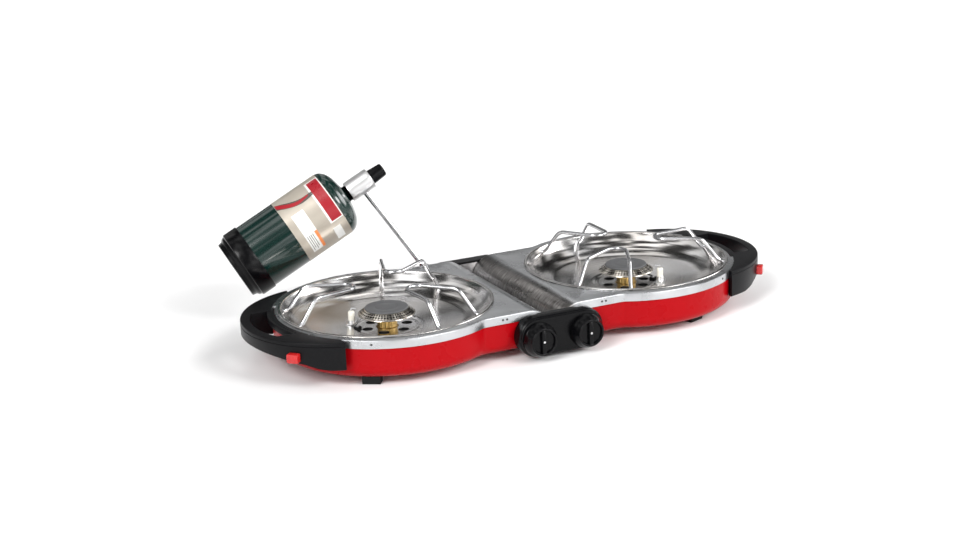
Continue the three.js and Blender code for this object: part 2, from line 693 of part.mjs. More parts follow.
function cylinderShell() {
  const outer = [
    [0, 4], [40, 4], [CYLINDER_R, 13.5], [CYLINDER_R, 166], [46, 175], [36, 183], [14, 188.6],
  ];
  const inner = [[36, 181.6], [44.8, 174], [48.4, 166], [48.4, 14], [39.4, 5.1], [0, 5.1]];
  return turned([...outer, [10.2, 188.8], [10.2, 187.5], ...inner], 28);
}

function cylinderBoot() {
  const profile = [
    [22, -3], [42, -3], [43.5, -1.5], [44, 2], [47.5, 6], [48.5, 9], [51, 10.5], [51, 32],
    [CYLINDER_R + 0.5, 32], [CYLINDER_R + 0.5, 13.2], [40, 3.6], [22, 3.6],
  ];
  return turned(profile, 28);
}

function cylinderValve() {
  return turned([[0, 178], [9.8, 178], [9.8, 189.2], [12.3, 189.2], [12.3, 203], [0, 203]], 20);
}

const REGULATOR_START = 193.6;
const REGULATOR_END = 231.5;

function regulatorBody() {
  const profile = [
    [12.9, REGULATOR_START], [14.8, REGULATOR_START], [15.4, REGULATOR_START + 0.6],
    [15.4, REGULATOR_END - 1], [14.4, REGULATOR_END], [0, REGULATOR_END], [0, 204], [12.9, 204],
  ];
  return turned(profile, 24);
}

function regulatorCap() {
  const start = REGULATOR_END + GAP;
  return turned([[0, start], [11, start], [9.6, 252.6], [8.6, 254], [0, 254]], 20);
}

function buildSupply() {
  const supply = new THREE.Group();
  const turn = new THREE.Quaternion().setFromUnitVectors(up, CYLINDER_AXIS);
  supply.position.copy(CYLINDER_BASE);
  supply.quaternion.copy(turn);
  supply.updateMatrixWorld();
  addPiece(supply, 'cylinder_shell', cylinderShell(), greenEnamel);
  addPiece(supply, 'cylinder_boot', cylinderBoot(), blackPlastic);
  addPiece(supply, 'cylinder_valve', cylinderValve(), blackPlastic);
  addPiece(supply, 'regulator_cap', regulatorCap(), blackPlastic);
  const armFrom = supply.worldToLocal(ARM_END.clone().addScaledVector(ARM_DIRECTION, -9));
  const armTo = supply.worldToLocal(INLET.clone());
  addPiece(supply, 'regulator_body', regulatorBody().subtract(rod(armFrom, armTo, ARM_R + GAP, 12)), chrome);

  const arm = new THREE.Group();
  arm.position.copy(INLET);
  arm.quaternion.setFromUnitVectors(up, ARM_DIRECTION);
  const reach = INLET.distanceTo(ARM_END) - 9.4;
  addPiece(arm, 'regulator_arm', rod(at(0, 0, 5.5 + GAP), at(0, 0, reach), ARM_R, 12), chrome);
  const hexagon = arc(0, 0, 8, 0, 360, 6).slice(0, -1);
  const nut = slab(hexagon, 2.5, 10)
    .subtract(rod(at(0, 0, 2), at(0, 0, 6.5), 5.8, 12))
    .subtract(rod(at(0, 0, 6), at(0, 0, 11), ARM_R + GAP, 12));
  addPiece(arm, 'arm_nut', nut, steel);
  return [supply, arm];
}

const stove = new THREE.Group();
stove.add(buildCentre(), buildHalf('left'), buildHalf('right'), ...buildSupply());

export default stove;
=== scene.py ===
import math

import bmesh
import bpy
from mathutils import Matrix, Vector


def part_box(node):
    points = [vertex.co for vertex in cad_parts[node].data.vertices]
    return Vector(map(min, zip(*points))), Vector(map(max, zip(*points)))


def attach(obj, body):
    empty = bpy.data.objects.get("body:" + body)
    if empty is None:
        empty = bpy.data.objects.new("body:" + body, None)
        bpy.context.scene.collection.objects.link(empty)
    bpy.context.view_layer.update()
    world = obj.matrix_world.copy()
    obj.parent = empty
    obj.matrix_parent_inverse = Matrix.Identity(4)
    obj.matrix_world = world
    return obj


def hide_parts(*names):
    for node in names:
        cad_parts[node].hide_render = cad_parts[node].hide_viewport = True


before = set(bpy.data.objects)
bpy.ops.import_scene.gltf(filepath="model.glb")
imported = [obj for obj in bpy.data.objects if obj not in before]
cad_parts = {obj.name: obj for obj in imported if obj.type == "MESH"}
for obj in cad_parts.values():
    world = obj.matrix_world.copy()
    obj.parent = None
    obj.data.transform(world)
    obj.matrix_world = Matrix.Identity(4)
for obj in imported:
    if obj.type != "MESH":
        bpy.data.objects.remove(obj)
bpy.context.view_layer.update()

MM = 0.001


def low_high(node):
    """The lowest and highest corner of a CAD node, in millimetres."""
    low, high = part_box(node)
    return low / MM, high / MM


# ---- Dimensions, from the frame where a box gives them ----

_, PLATE_HIGH = low_high("right_top_plate")
BOWL_LOW, BOWL_HIGH = low_high("right_bowl")
_, HANDLE_HIGH = low_high("right_handle")
KNOB_LOW, KNOB_HIGH = low_high("right_knob")
CASE_LOW, CASE_HIGH = low_high("right_case")
FRONT_LOW, FRONT_HIGH = low_high("control_housing")
_, REAR_HIGH = low_high("rear_housing")

# The top plate, its bright band and the outline of a half
PLATE_TOP = PLATE_HIGH.z
SHEET = 1.0
BAND_DEPTH = 11.5
HINGE_X = 37.5
HINGE_Z = 32.0
ROLL_R = PLATE_TOP - HINGE_Z
WAIST = 135.9
WAIST_FILLET = 20.0
END_R = PLATE_HIGH.y
END_X = 184.1
RECESS_R = 153.0
RECESS_DEG = 26.0
SCREW_X = (71.5, 77.5)
END_SCREW_X = 264.0
SCREW_DOWN = 5.6
EDGE_ROUND = 1.6

# The red case
CASE_BOTTOM = CASE_LOW.z
CASE_TOP = CASE_HIGH.z
CASE_INNER_X = CASE_LOW.x
CASE_INSET = 1.3
CASE_WALL = 1.2
CASE_ROUND = 14.0
CASE_KEEP_R = ROLL_R - CASE_INSET

# Bowl, pan supports, burner and igniter, about the burner's axis
BURNER_X = (BOWL_LOW.x + BOWL_HIGH.x) / 2
HOLE_R = 142.6
SUPPORT_RISE = 30.0
SUPPORT_TIP_X = 59.4
SUPPORT_TIP_R = 14.9
SUPPORT_FOOT = (136.6, 39.16, -3.4)
SUPPORT_ANKLE = (128.3, 36.8, -3.4)
SUPPORT_BEND = (103.8, 30, SUPPORT_RISE)
WIRE_R = 2.8
SUPPORT_DEG = {"left": (-5.7, 114.3, -125.7), "right": (-13, 107, -133)}
VENTS = 6
VENT_FIRST_DEG = 58.0
VENT_R = 7.4
VENT_RING_R = 28.5
NECK_R = 13.6
CAP_R = 29.6
HEAD_R = 39.2
FLUTES = 24
FLUTE_DEPTH = 0.9
IGNITER_R = 49.0
IGNITER_DEG = -33.0
GROMMET_R = 40.5
GROMMET_DEG = IGNITER_DEG + 19

# Handle and igniter button
HANDLE_X = 254.0
HANDLE_R = HANDLE_HIGH.x - HANDLE_X
GRIP_R = HANDLE_R - 13
HANDLE_END_X = {"front": 283.5, "back": 295.5}
HAND_GAP = 54.0
RIM_R = 163.0
WALL_R = END_R - 1
BUTTON_DEG = {"left": 42.5, "right": -40}
BUTTON_Z = 44.0
BUTTON_OUT = 8.0
BUTTON_BURIED = 5.7
BUTTON_SIZE = (16.0, 12.0)
BUTTON_ROUND = 2.0
POCKET_DEEPER = 4.1
POCKET_GAP = 0.6

# Knobs and their housings
KNOB_X = (KNOB_LOW.x + KNOB_HIGH.x) / 2
KNOB_Z = (KNOB_LOW.z + KNOB_HIGH.z) / 2
KNOB_BACK_Y = KNOB_HIGH.y
FRONT_R = FRONT_HIGH.z - HINGE_Z
REAR_R = REAR_HIGH.z - HINGE_Z
HOUSING_BACK_Y = -FRONT_HIGH.y
HOUSING_WALL = 2.9
FRONT_STEP_Y = 153.5
REAR_STEP_Y = 157.0

# Gas supply
INLET = Vector((-59, 149.5, 48.2))
CYLINDER_BASE = Vector((-320.9, 227.7, 75.7))
CYLINDER_AXIS = Vector((0.869, -0.112, 0.482)).normalized()
ARM_ALONG = 213.0
ARM_R = 4.0
CYLINDER_R = 49.5
LABEL_SPAN = (92, 166)
PRINT_THICKNESS = 0.14
GROUND_LIFT = 0.12
PRINT_LIFT = 0.2
TOP_LIFT = 0.28


# ---- Geometry: a shape is (points, faces) ----

SHARP_DEG = 35
WELD = 1e-6


def polar(radius, degrees, centre_x=0.0):
    """A point on a circle about (centre_x, 0), at height 0."""
    angle = math.radians(degrees)
    return Vector((centre_x + radius * math.cos(angle), radius * math.sin(angle), 0))


def spread(start, stop, steps):
    """steps + 1 numbers from start to stop."""
    return [start + (stop - start) * i / steps for i in range(steps + 1)]


def loft(rings, wrap=False):
    """Closed rings of equally many points, joined in turn, and capped unless they wrap round."""
    size = len(rings[0])
    points = [point for ring in rings for point in ring]
    faces = []
    for k in range(len(rings) if wrap else len(rings) - 1):
        here = k * size
        there = (k + 1) % len(rings) * size
        for i in range(size):
            j = (i + 1) % size
            faces.append((here + i, here + j, there + j, there + i))
    if not wrap:
        faces.append(tuple(reversed(range(size))))
        faces.append(tuple(range(len(points) - size, len(points))))
    return points, faces


def join(*shapes):
    """Several shapes as one, kept as separate shells."""
    points, faces = [], []
    for more_points, more_faces in shapes:
        base = len(points)
        points += more_points
        faces += [tuple(base + i for i in face) for face in more_faces]
    return points, faces


def moved(shape, matrix):
    return [matrix @ Vector(point) for point in shape[0]], shape[1]


def lathe(profile, segments, change=None):
    """A closed (radius, height) profile turned about Z. change(radius, height, angle) may reshape it."""
    rings = []
    for k in range(segments):
        angle = 2 * math.pi * k / segments
        ring = []
        for radius, height in profile:
            r, z = change(radius, height, angle) if change else (radius, height)
            ring.append(Vector((r * math.cos(angle), r * math.sin(angle), z)))
        rings.append(ring)
    return loft(rings, wrap=True)


def bent(corners, reach, steps=5):
    """The points with each inner corner rounded, starting `reach` before it."""
    corners = [Vector(corner) for corner in corners]
    points = [corners[0]]
    for before, corner, after in zip(corners, corners[1:], corners[2:]):
        back = before - corner
        ahead = after - corner
        start = corner + back.normalized() * min(reach, back.length * 0.48)
        end = corner + ahead.normalized() * min(reach, ahead.length * 0.48)
        for t in spread(0, 1, steps):
            points.append(start * (1 - t) ** 2 + corner * 2 * t * (1 - t) + end * t * t)
    points.append(corners[-1])
    return points


def softened(profile, reach, steps):
    """A (radius, height) profile with its corners rounded, except both ends."""
    flat = [(r, z, 0) for r, z in profile]
    return [(p.x, p.y) for p in bent(flat, reach, steps)]


def tube(path, radius, sides):
    """A round bar along a path, with flat ends."""
    path = [Vector(p) for p in path]
    tangents = []
    for i in range(len(path)):
        before = path[max(i - 1, 0)]
        after = path[min(i + 1, len(path) - 1)]
        tangents.append((after - before).normalized())
    side = tangents[0].orthogonal().normalized()
    rings = []
    for i, (point, along) in enumerate(zip(path, tangents)):
        if i:
            side = tangents[i - 1].rotation_difference(along) @ side
        other = along.cross(side)
        rings.append([
            point + (side * math.cos(a) + other * math.sin(a)) * radius
            for a in spread(0, 2 * math.pi, sides)[:-1]
        ])
    return loft(rings)


def rod(start, end, radius, sides):
    return tube([start, end], radius, sides)


def rounded_rectangle(width, depth, radius):
    """The points of a rectangle with rounded corners, centred on the Z axis."""
    points = []
    for k, (sx, sy) in enumerate(((1, 1), (-1, 1), (-1, -1), (1, -1))):
        centre = Vector((sx * (width / 2 - radius), sy * (depth / 2 - radius), 0))
        points += [centre + polar(radius, 90 * k + a) for a in spread(0, 90, 4)]
    return points


def block(width, depth, height, radius, bevel):
    """A rounded rectangle raised along Z from 0, with both edges bevelled."""
    rings = []
    for inset, z in ((bevel, 0), (bevel * 0.3, bevel * 0.3), (0, bevel), (0, height - bevel),
                     (bevel * 0.3, height - bevel * 0.3), (bevel, height)):
        ring = rounded_rectangle(width - 2 * inset, depth - 2 * inset, radius)
        rings.append([p + Vector((0, 0, z)) for p in ring])
    return loft(rings)


def mesh_of(name, shape, sharp=SHARP_DEG):
    """A clean mesh in metres. Edges steeper than `sharp` degrees stay crisp."""
    mesh = bpy.data.meshes.new(name)
    mesh.from_pydata([Vector(p) * MM for p in shape[0]], [], shape[1])
    work = bmesh.new()
    work.from_mesh(mesh)
    bmesh.ops.remove_doubles(work, verts=work.verts, dist=WELD)
    bmesh.ops.dissolve_degenerate(work, edges=work.edges, dist=WELD / 10)
    loose = [v for v in work.verts if not v.link_faces]
    bmesh.ops.delete(work, geom=loose, context="VERTS")
    bmesh.ops.recalc_face_normals(work, faces=work.faces)
    work.to_mesh(mesh)
    work.free()
    mesh.shade_smooth()
    mesh.set_sharp_from_angle(angle=math.radians(sharp))
    return mesh


def place_mm(matrix):
    """A placement written in millimetres, as one in metres."""
    result = matrix.copy()
    result.translation = matrix.translation * MM
    return result


def cut(obj, shapes, sharp):
    """Cuts closed shapes, given in the object's own frame, out of a piece."""
    cutter = bpy.data.objects.new("cutter", mesh_of("cutter", join(*shapes)))
    cutter.matrix_world = obj.matrix_world
    bpy.context.scene.collection.objects.link(cutter)
    change = obj.modifiers.new("cut", "BOOLEAN")
    change.operation = "DIFFERENCE"
    change.object = cutter
    change.solver = "EXACT"
    bpy.context.view_layer.update()
    graph = bpy.context.evaluated_depsgraph_get()
    result = bpy.data.meshes.new_from_object(obj.evaluated_get(graph))
    obj.modifiers.clear()
    obj.data = result
    bpy.data.objects.remove(cutter)
    result.shade_smooth()
    result.set_sharp_from_angle(angle=math.radians(sharp))


def piece(name, shape, place, look, body, slot=None, replaces=None, cutters=(), sharp=SHARP_DEG,
          local=False):
    """Adds a piece, with its mesh in the whole stove's frame, unless it is local to its place."""
    if not local:
        shape = moved(shape, place)
        cutters = [moved(cutter, place) for cutter in cutters]
        place = Matrix.Identity(4)
    obj = bpy.data.objects.new(name, mesh_of(name, shape, sharp))
    obj.data.materials.append(LOOKS[look])
    bpy.context.scene.collection.objects.link(obj)
    obj.matrix_world = place_mm(place)
    if cutters:
        bpy.context.view_layer.update()
        cut(obj, cutters, sharp)
    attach(obj, body)
    if replaces:
        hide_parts(replaces)


def stand_in(node, shape, place, look, body, slot, **more):
    """Adds a piece that replaces the CAD node whose name it takes."""
    piece(f"{node}_look", shape, place, look, body, slot, node, **more)


# ---- Materials ----

NOISE_SPAN = (0.3, 0.7)
RELIEF_DEPTH = 0.4 * MM
KNURL_AROUND = 27
KNURL_OUTWARDS = 900
KNURL_R = (CAP_R + 0.8, 38.0)


def link(tree, source, output, target, socket):
    tree.links.new(source.outputs[output], target.inputs[socket])


def preset(node, values):
    """Sets inputs of a node by name."""
    for name, value in values.items():
        node.inputs[name].default_value = value


def noise(tree, source, output, scale, detail):
    """Noise over the coordinates that a node gives."""
    node = tree.nodes.new("ShaderNodeTexNoise")
    preset(node, {"Scale": scale, "Detail": detail})
    link(tree, source, output, node, "Vector")
    return node


def two_colours(tree, source, span, dark, light):
    """A ramp from a dark to a light colour over a span of the source's values."""
    ramp = tree.nodes.new("ShaderNodeValToRGB")
    for mark, position, colour in zip(ramp.color_ramp.elements, span, (dark, light)):
        mark.position = position
        mark.color = (*colour, 1)
    link(tree, source, "Fac", ramp, "Fac")
    return ramp


def map_range(tree, source, output, span, result, shape="SMOOTHSTEP"):
    """A node that takes one span of values to another."""
    node = tree.nodes.new("ShaderNodeMapRange")
    node.interpolation_type = shape
    preset(node, dict(zip(("From Min", "From Max", "To Min", "To Max"), (*span, *result))))
    link(tree, source, output, node, "Value")
    return node


def mixed(tree, factor, first, second):
    """The output of a mix of two colours. The second is an output or a plain colour."""
    mix = tree.nodes.new("ShaderNodeMix")
    mix.data_type = "RGBA"
    tree.links.new(factor, mix.inputs["Factor"])
    tree.links.new(first, mix.inputs["A"])
    if isinstance(second, tuple):
        preset(mix, {"B": second})
    else:
        tree.links.new(second, mix.inputs["B"])
    return mix.outputs["Result"]


def calc(tree, operation, a, b=0.0):
    """The output of a math node whose inputs are sockets or numbers."""
    node = tree.nodes.new("ShaderNodeMath")
    node.operation = operation
    for socket, value in zip(node.inputs, (a, b)):
        if isinstance(value, (int, float)):
            socket.default_value = value
        else:
            tree.links.new(value, socket)
    return node.outputs[0]


def from_axis(tree):
    """The output that gives the distance from a piece's own Z axis."""
    flat = tree.nodes.new("ShaderNodeVectorMath")
    flat.operation = "MULTIPLY"
    flat.inputs[1].default_value = (1, 1, 0)
    link(tree, tree.nodes["Texture Coordinate"], "Object", flat, 0)
    length = tree.nodes.new("ShaderNodeVectorMath")
    length.operation = "LENGTH"
    link(tree, flat, "Vector", length, 0)
    return length.outputs["Value"]


def relief(tree, source, strength):
    """Fine relief on a finish, from a noise node."""
    bump = tree.nodes.new("ShaderNodeBump")
    preset(bump, {"Strength": strength, "Distance": RELIEF_DEPTH})
    link(tree, source, "Fac", bump, "Height")
    link(tree, bump, "Normal", tree.nodes["Principled BSDF"], "Normal")


def surface(name, dark, light, metallic, roughness, scale=60, bump=0.0, bump_scale=900, coat=0.0,
            specular=0.5):
    """A finish whose colour and roughness drift between two ends, with fine relief."""
    look = bpy.data.materials.new(name)
    look.use_nodes = True
    tree = look.node_tree
    shader = tree.nodes["Principled BSDF"]
    preset(shader, {"Metallic": metallic, "Coat Weight": coat, "Coat Roughness": 0.06,
                    "Specular IOR Level": specular})
    where = tree.nodes.new("ShaderNodeTexCoord")
    drift = noise(tree, where, "Object", scale, 4)
    colours = two_colours(tree, drift, NOISE_SPAN, dark, light)
    link(tree, colours, "Color", shader, "Base Color")
    rough = map_range(tree, drift, "Fac", NOISE_SPAN, roughness, "LINEAR")
    link(tree, rough, "Result", shader, "Roughness")
    if bump:
        relief(tree, noise(tree, where, "Object", bump_scale, 3), bump)
    return look


def recolour(tree, factor, second):
    """Mixes a second colour into a finish's own, by a factor."""
    own = tree.nodes["Color Ramp"].outputs["Color"]
    base_colour = tree.nodes["Principled BSDF"].inputs["Base Color"]
    tree.links.new(mixed(tree, factor, own, second), base_colour)


def spun_aluminium(name):
    """Bright metal with the faint rings that spinning leaves, and a tan heat tint."""
    look = surface(name, (0.54, 0.51, 0.48), (0.8, 0.8, 0.81), 1.0, (0.11, 0.2), scale=14)
    tree = look.node_tree
    shader = tree.nodes["Principled BSDF"]
    preset(shader, {"Anisotropic": 0.5})
    tangent = tree.nodes.new("ShaderNodeTangent")
    tangent.direction_type = "RADIAL"
    tangent.axis = "Z"
    link(tree, tangent, "Tangent", shader, "Tangent")
    rings = tree.nodes.new("ShaderNodeTexNoise")
    rings.noise_dimensions = "1D"
    preset(rings, {"Scale": 420, "Detail": 2})
    tree.links.new(from_axis(tree), rings.inputs["W"])
    relief(tree, rings, 0.16)
    return look


def knurl_shade(name):
    """Bright metal with near-black diamonds painted on its cone, between the cap and the rim: painted shade
    for the grooves of a knurl.
    """
    look = surface(name, (0.56, 0.52, 0.46), (0.74, 0.7, 0.64), 1.0, (0.18, 0.26))
    tree = look.node_tree
    split = tree.nodes.new("ShaderNodeSeparateXYZ")
    link(tree, tree.nodes["Texture Coordinate"], "Object", split, "Vector")
    radius = from_axis(tree)
    angle = calc(tree, "ARCTAN2", split.outputs["Y"], split.outputs["X"])
    around = calc(tree, "MULTIPLY", angle, KNURL_AROUND)
    outwards = calc(tree, "MULTIPLY", radius, KNURL_OUTWARDS)
    one_way = calc(tree, "SINE", calc(tree, "ADD", around, outwards))
    other_way = calc(tree, "SINE", calc(tree, "SUBTRACT", around, outwards))
    diamonds = calc(tree, "MULTIPLY", one_way, other_way)
    outside = calc(tree, "GREATER_THAN", radius, KNURL_R[0] * MM)
    inside = calc(tree, "LESS_THAN", radius, KNURL_R[1] * MM)
    groove_shade = calc(tree, "MULTIPLY", diamonds, calc(tree, "MULTIPLY", inside, outside))
    # Near-black diamonds: painted shade in the knurl's grooves.
    recolour(tree, calc(tree, "GREATER_THAN", groove_shade, 0.1), (0.03, 0.025, 0.02, 1))
    return look


def galvanised_plate(name, painted_reflection):
    """Grey zinc-coated sheet. The one with painted_reflection has brown streaks painted on its rolled end, a
    painted reflection.
    """
    look = surface(name, (0.5, 0.51, 0.525), (0.62, 0.63, 0.645), 1.0, (0.25, 0.32), scale=30, bump=0.04)
    if not painted_reflection:
        return look
    tree = look.node_tree
    where = tree.nodes["Texture Coordinate"]
    stretch = tree.nodes.new("ShaderNodeMapping")
    preset(stretch, {"Scale": (0.12, 1, 0.12)})
    link(tree, where, "Object", stretch, "Vector")
    # Brown streaks on the rolled end: a painted reflection.
    streaks = noise(tree, stretch, "Vector", 700, 3)
    reflection_colours = two_colours(tree, streaks, (0.35, 0.62), (0.17, 0.155, 0.15), (0.46, 0.44, 0.425))
    split = tree.nodes.new("ShaderNodeSeparateXYZ")
    link(tree, where, "Object", split, "Vector")
    rolled_end = map_range(tree, split, "X", (34 * MM, 22 * MM), (0, 1))
    recolour(tree, rolled_end.outputs["Result"], reflection_colours.outputs["Color"])
    return look


# Each look has its dark and light colour, how metallic it is, and its lowest and highest roughness.
LOOKS = {
    "red": surface("red_enamel", (0.335, 0.0012, 0.004), (0.35, 0.0015, 0.0045), 0.0, (0.26, 0.3),
                   scale=25, specular=0.1),
    "plate_left": galvanised_plate("galvanised_left", False),
    "plate_right": galvanised_plate("galvanised_right", True),
    "bowl": spun_aluminium("polished_aluminium"),
    "cast": surface("cast_aluminium", (0.11, 0.112, 0.116), (0.14, 0.142, 0.146), 0.4, (0.5, 0.62),
                    scale=90, bump=0.12),
    "head": knurl_shade("machined_aluminium"),
    "brass": surface("brass", (0.3, 0.19, 0.06), (0.44, 0.3, 0.11), 1.0, (0.26, 0.38), scale=80),
    "chrome": surface("chrome_wire", (0.5, 0.5, 0.51), (0.6, 0.6, 0.61), 1.0, (0.12, 0.18), scale=50),
    # The arm's chrome is a darker copy of the wires' chrome: painted shade that keeps the arm from reading
    # white.
    "arm": surface("arm_chrome_painted_shade", (0.33, 0.33, 0.34), (0.42, 0.42, 0.43), 1.0, (0.16, 0.22), scale=50),
    "satin": surface("satin_metal", (0.72, 0.72, 0.72), (0.76, 0.76, 0.76), 1.0, (0.34, 0.36)),
    "steel": surface("plain_steel", (0.42, 0.42, 0.43), (0.55, 0.55, 0.56), 1.0, (0.28, 0.4)),
    "black": surface("black_plastic", (0.003, 0.003, 0.0035), (0.006, 0.006, 0.007), 0.0, (0.34, 0.4),
                     scale=500, bump=0.05, bump_scale=1400, specular=0.14),
    "gloss_black": surface("gloss_black_plastic", (0.0015, 0.0015, 0.002), (0.003, 0.003, 0.0035), 0.0,
                           (0.2, 0.24), scale=500, specular=0.16),
    "rubber": surface("black_rubber", (0.005, 0.005, 0.005), (0.009, 0.009, 0.009), 0.0, (0.6, 0.75),
                      scale=200, bump=0.2, bump_scale=1800, specular=0.2),
    "button": surface("red_plastic", (0.45, 0.008, 0.008), (0.5, 0.012, 0.012), 0.0, (0.2, 0.3),
                      scale=120, coat=0.3),
    "ceramic": surface("white_ceramic", (0.74, 0.71, 0.62), (0.84, 0.82, 0.74), 0.0, (0.2, 0.32),
                       scale=200, coat=0.3),
    "green": surface("green_enamel", (0.0025, 0.016, 0.013), (0.0035, 0.02, 0.016), 0.0, (0.16, 0.18),
                     scale=20, coat=0.4),
    "dark_steel": surface("dark_steel", (0.05, 0.05, 0.05), (0.08, 0.08, 0.08), 0.8, (0.4, 0.5),
                          scale=200),
    "label": surface("label_metallic", (0.41, 0.365, 0.305), (0.47, 0.425, 0.36), 0.35, (0.32, 0.4),
                     scale=25),
    "label_red": surface("label_red", (0.3, 0.006, 0.014), (0.33, 0.008, 0.016), 0.0, (0.25, 0.35),
                         scale=25),
    "label_white": surface("label_white", (0.72, 0.72, 0.7), (0.8, 0.8, 0.78), 0.0, (0.3, 0.4), scale=120),
    "label_dark": surface("label_dark", (0.06, 0.05, 0.045), (0.09, 0.08, 0.07), 0.0, (0.3, 0.4),
                          scale=120),
    "label_orange": surface("label_orange", (0.7, 0.2, 0.06), (0.8, 0.28, 0.09), 0.0, (0.3, 0.4),
                            scale=120),
    "dot": surface("pale_mark", (0.45, 0.45, 0.45), (0.55, 0.55, 0.55), 0.0, (0.4, 0.5), scale=200),
}


# ---- Outline of one half: (place, outward direction, degrees round the end) ----

FILLET_X = END_X - math.sqrt((END_R + WAIST_FILLET) ** 2 - (WAIST + WAIST_FILLET) ** 2)
END_STEP_DEG = 3
FILLET_DEG = math.degrees(math.atan2(WAIST + WAIST_FILLET, END_X - FILLET_X))


def half_edge():
    """One edge on the -y side, from the waist to the far end. Each point has its degrees round the end,
    or None before it."""
    points = []
    for x in spread(HINGE_X, FILLET_X, 12)[:-1]:
        points.append((Vector((x, -WAIST, 0)), Vector((0, -1, 0)), None))
    centre = Vector((FILLET_X, -(WAIST + WAIST_FILLET), 0))
    for degrees in spread(90, FILLET_DEG, 8)[:-1]:
        inward = polar(1, degrees)
        points.append((centre + inward * WAIST_FILLET, -inward, None))
    first = FILLET_DEG - 180
    for degrees in spread(first, 0, round(-first / END_STEP_DEG)):
        points.append((polar(END_R, degrees, END_X), polar(1, degrees), degrees))
    return points


def half_outline():
    """Both edges, from the waist on the -y side round the end to the +y side."""
    lower = half_edge()
    flip = Vector((1, -1, 1))
    upper = [(p * flip, n * flip, None if d is None else -d) for p, n, d in lower[:-1]]
    return lower + upper[::-1]


def band_end(x):
    """Degrees round the end where the band stops, just short of a handle root that ends at x."""
    return math.degrees(math.acos((x - 0.3 - END_X) / END_R))


BAND_STOP = (-band_end(HANDLE_END_X["front"]), band_end(HANDLE_END_X["back"]))


def has_band(degrees):
    return degrees is None or not BAND_STOP[0] < degrees < BAND_STOP[1]


# ---- One half ----

def top_plate():
    """The sheet with its hole and bright band, its inner end rolled down to the hinge."""
    outline = half_outline()
    # Two outline points close together make a clean end for the flange and for the recess.
    for mark in (*BAND_STOP, -RECESS_DEG, RECESS_DEG):
        for degrees in (mark - 0.1, mark + 0.1):
            outline.append((polar(END_R, degrees, END_X), polar(1, degrees), degrees))
    lower = [o for o in outline if o[2] is None and o[0].y < 0]
    upper = [o for o in outline if o[2] is None and o[0].y > 0]
    end = sorted((o for o in outline if o[2] is not None), key=lambda o: o[2])
    centre = Vector((BURNER_X, 0, 0))

    def section(point, outward, depth):
        hole = centre + (point - centre).normalized() * HOLE_R
        at = [(hole, PLATE_TOP - SHEET), (hole, PLATE_TOP)]
        rim = [(EDGE_ROUND, 0), (EDGE_ROUND * 0.3, EDGE_ROUND * 0.3), (0, EDGE_ROUND), (0, depth),
               (SHEET, depth), (SHEET, EDGE_ROUND + SHEET * 0.4), (SHEET + EDGE_ROUND, SHEET)]
        for inset, down in rim:
            at.append((point - outward * inset, PLATE_TOP - min(down, depth)))
        return [Vector((p.x, p.y, z)) for p, z in at]

    rings = []
    for point, outward, degrees in lower + end + upper:
        shift = RECESS_R - END_R if degrees is not None and abs(degrees) < RECESS_DEG else 0
        depth = BAND_DEPTH if has_band(degrees) else SHEET + EDGE_ROUND
        rings.append(section(point + outward * shift, outward, depth))
    for y in spread(WAIST - EDGE_ROUND, EDGE_ROUND - WAIST, 24):
        point = Vector((HINGE_X, y, 0))
        hole = centre + (point - centre).normalized() * HOLE_R
        ring = [Vector((hole.x, hole.y, PLATE_TOP - SHEET)), Vector((hole.x, hole.y, PLATE_TOP))]
        ring += [Vector((HINGE_X, y, PLATE_TOP))] * 3 + [Vector((HINGE_X, y, PLATE_TOP - SHEET))] * 4
        rings.append(ring)
    flat = loft(rings, wrap=True)

    inner = ROLL_R - BAND_DEPTH
    side = [(ROLL_R, WAIST - EDGE_ROUND), (ROLL_R - EDGE_ROUND * 0.3, WAIST - EDGE_ROUND * 0.3),
            (ROLL_R - EDGE_ROUND, WAIST), (inner, WAIST), (inner, WAIST - SHEET),
            (ROLL_R - SHEET, WAIST - SHEET)]
    loop = side + [(r, -y) for r, y in reversed(side)]
    rings = []
    for degrees in spread(89, 180, 30):
        out = polar(1, degrees)
        rings.append([Vector((HINGE_X + out.x * r, y, HINGE_Z + out.y * r)) for r, y in loop])
    return join(flat, loft(rings))


def case_top(x):
    """Height of the case's edge, which dips below the plate's rolled end."""
    if x >= HINGE_X:
        return CASE_TOP
    return min(CASE_TOP, HINGE_Z + math.sqrt(max(CASE_KEEP_R ** 2 - (HINGE_X - x) ** 2, 0)))


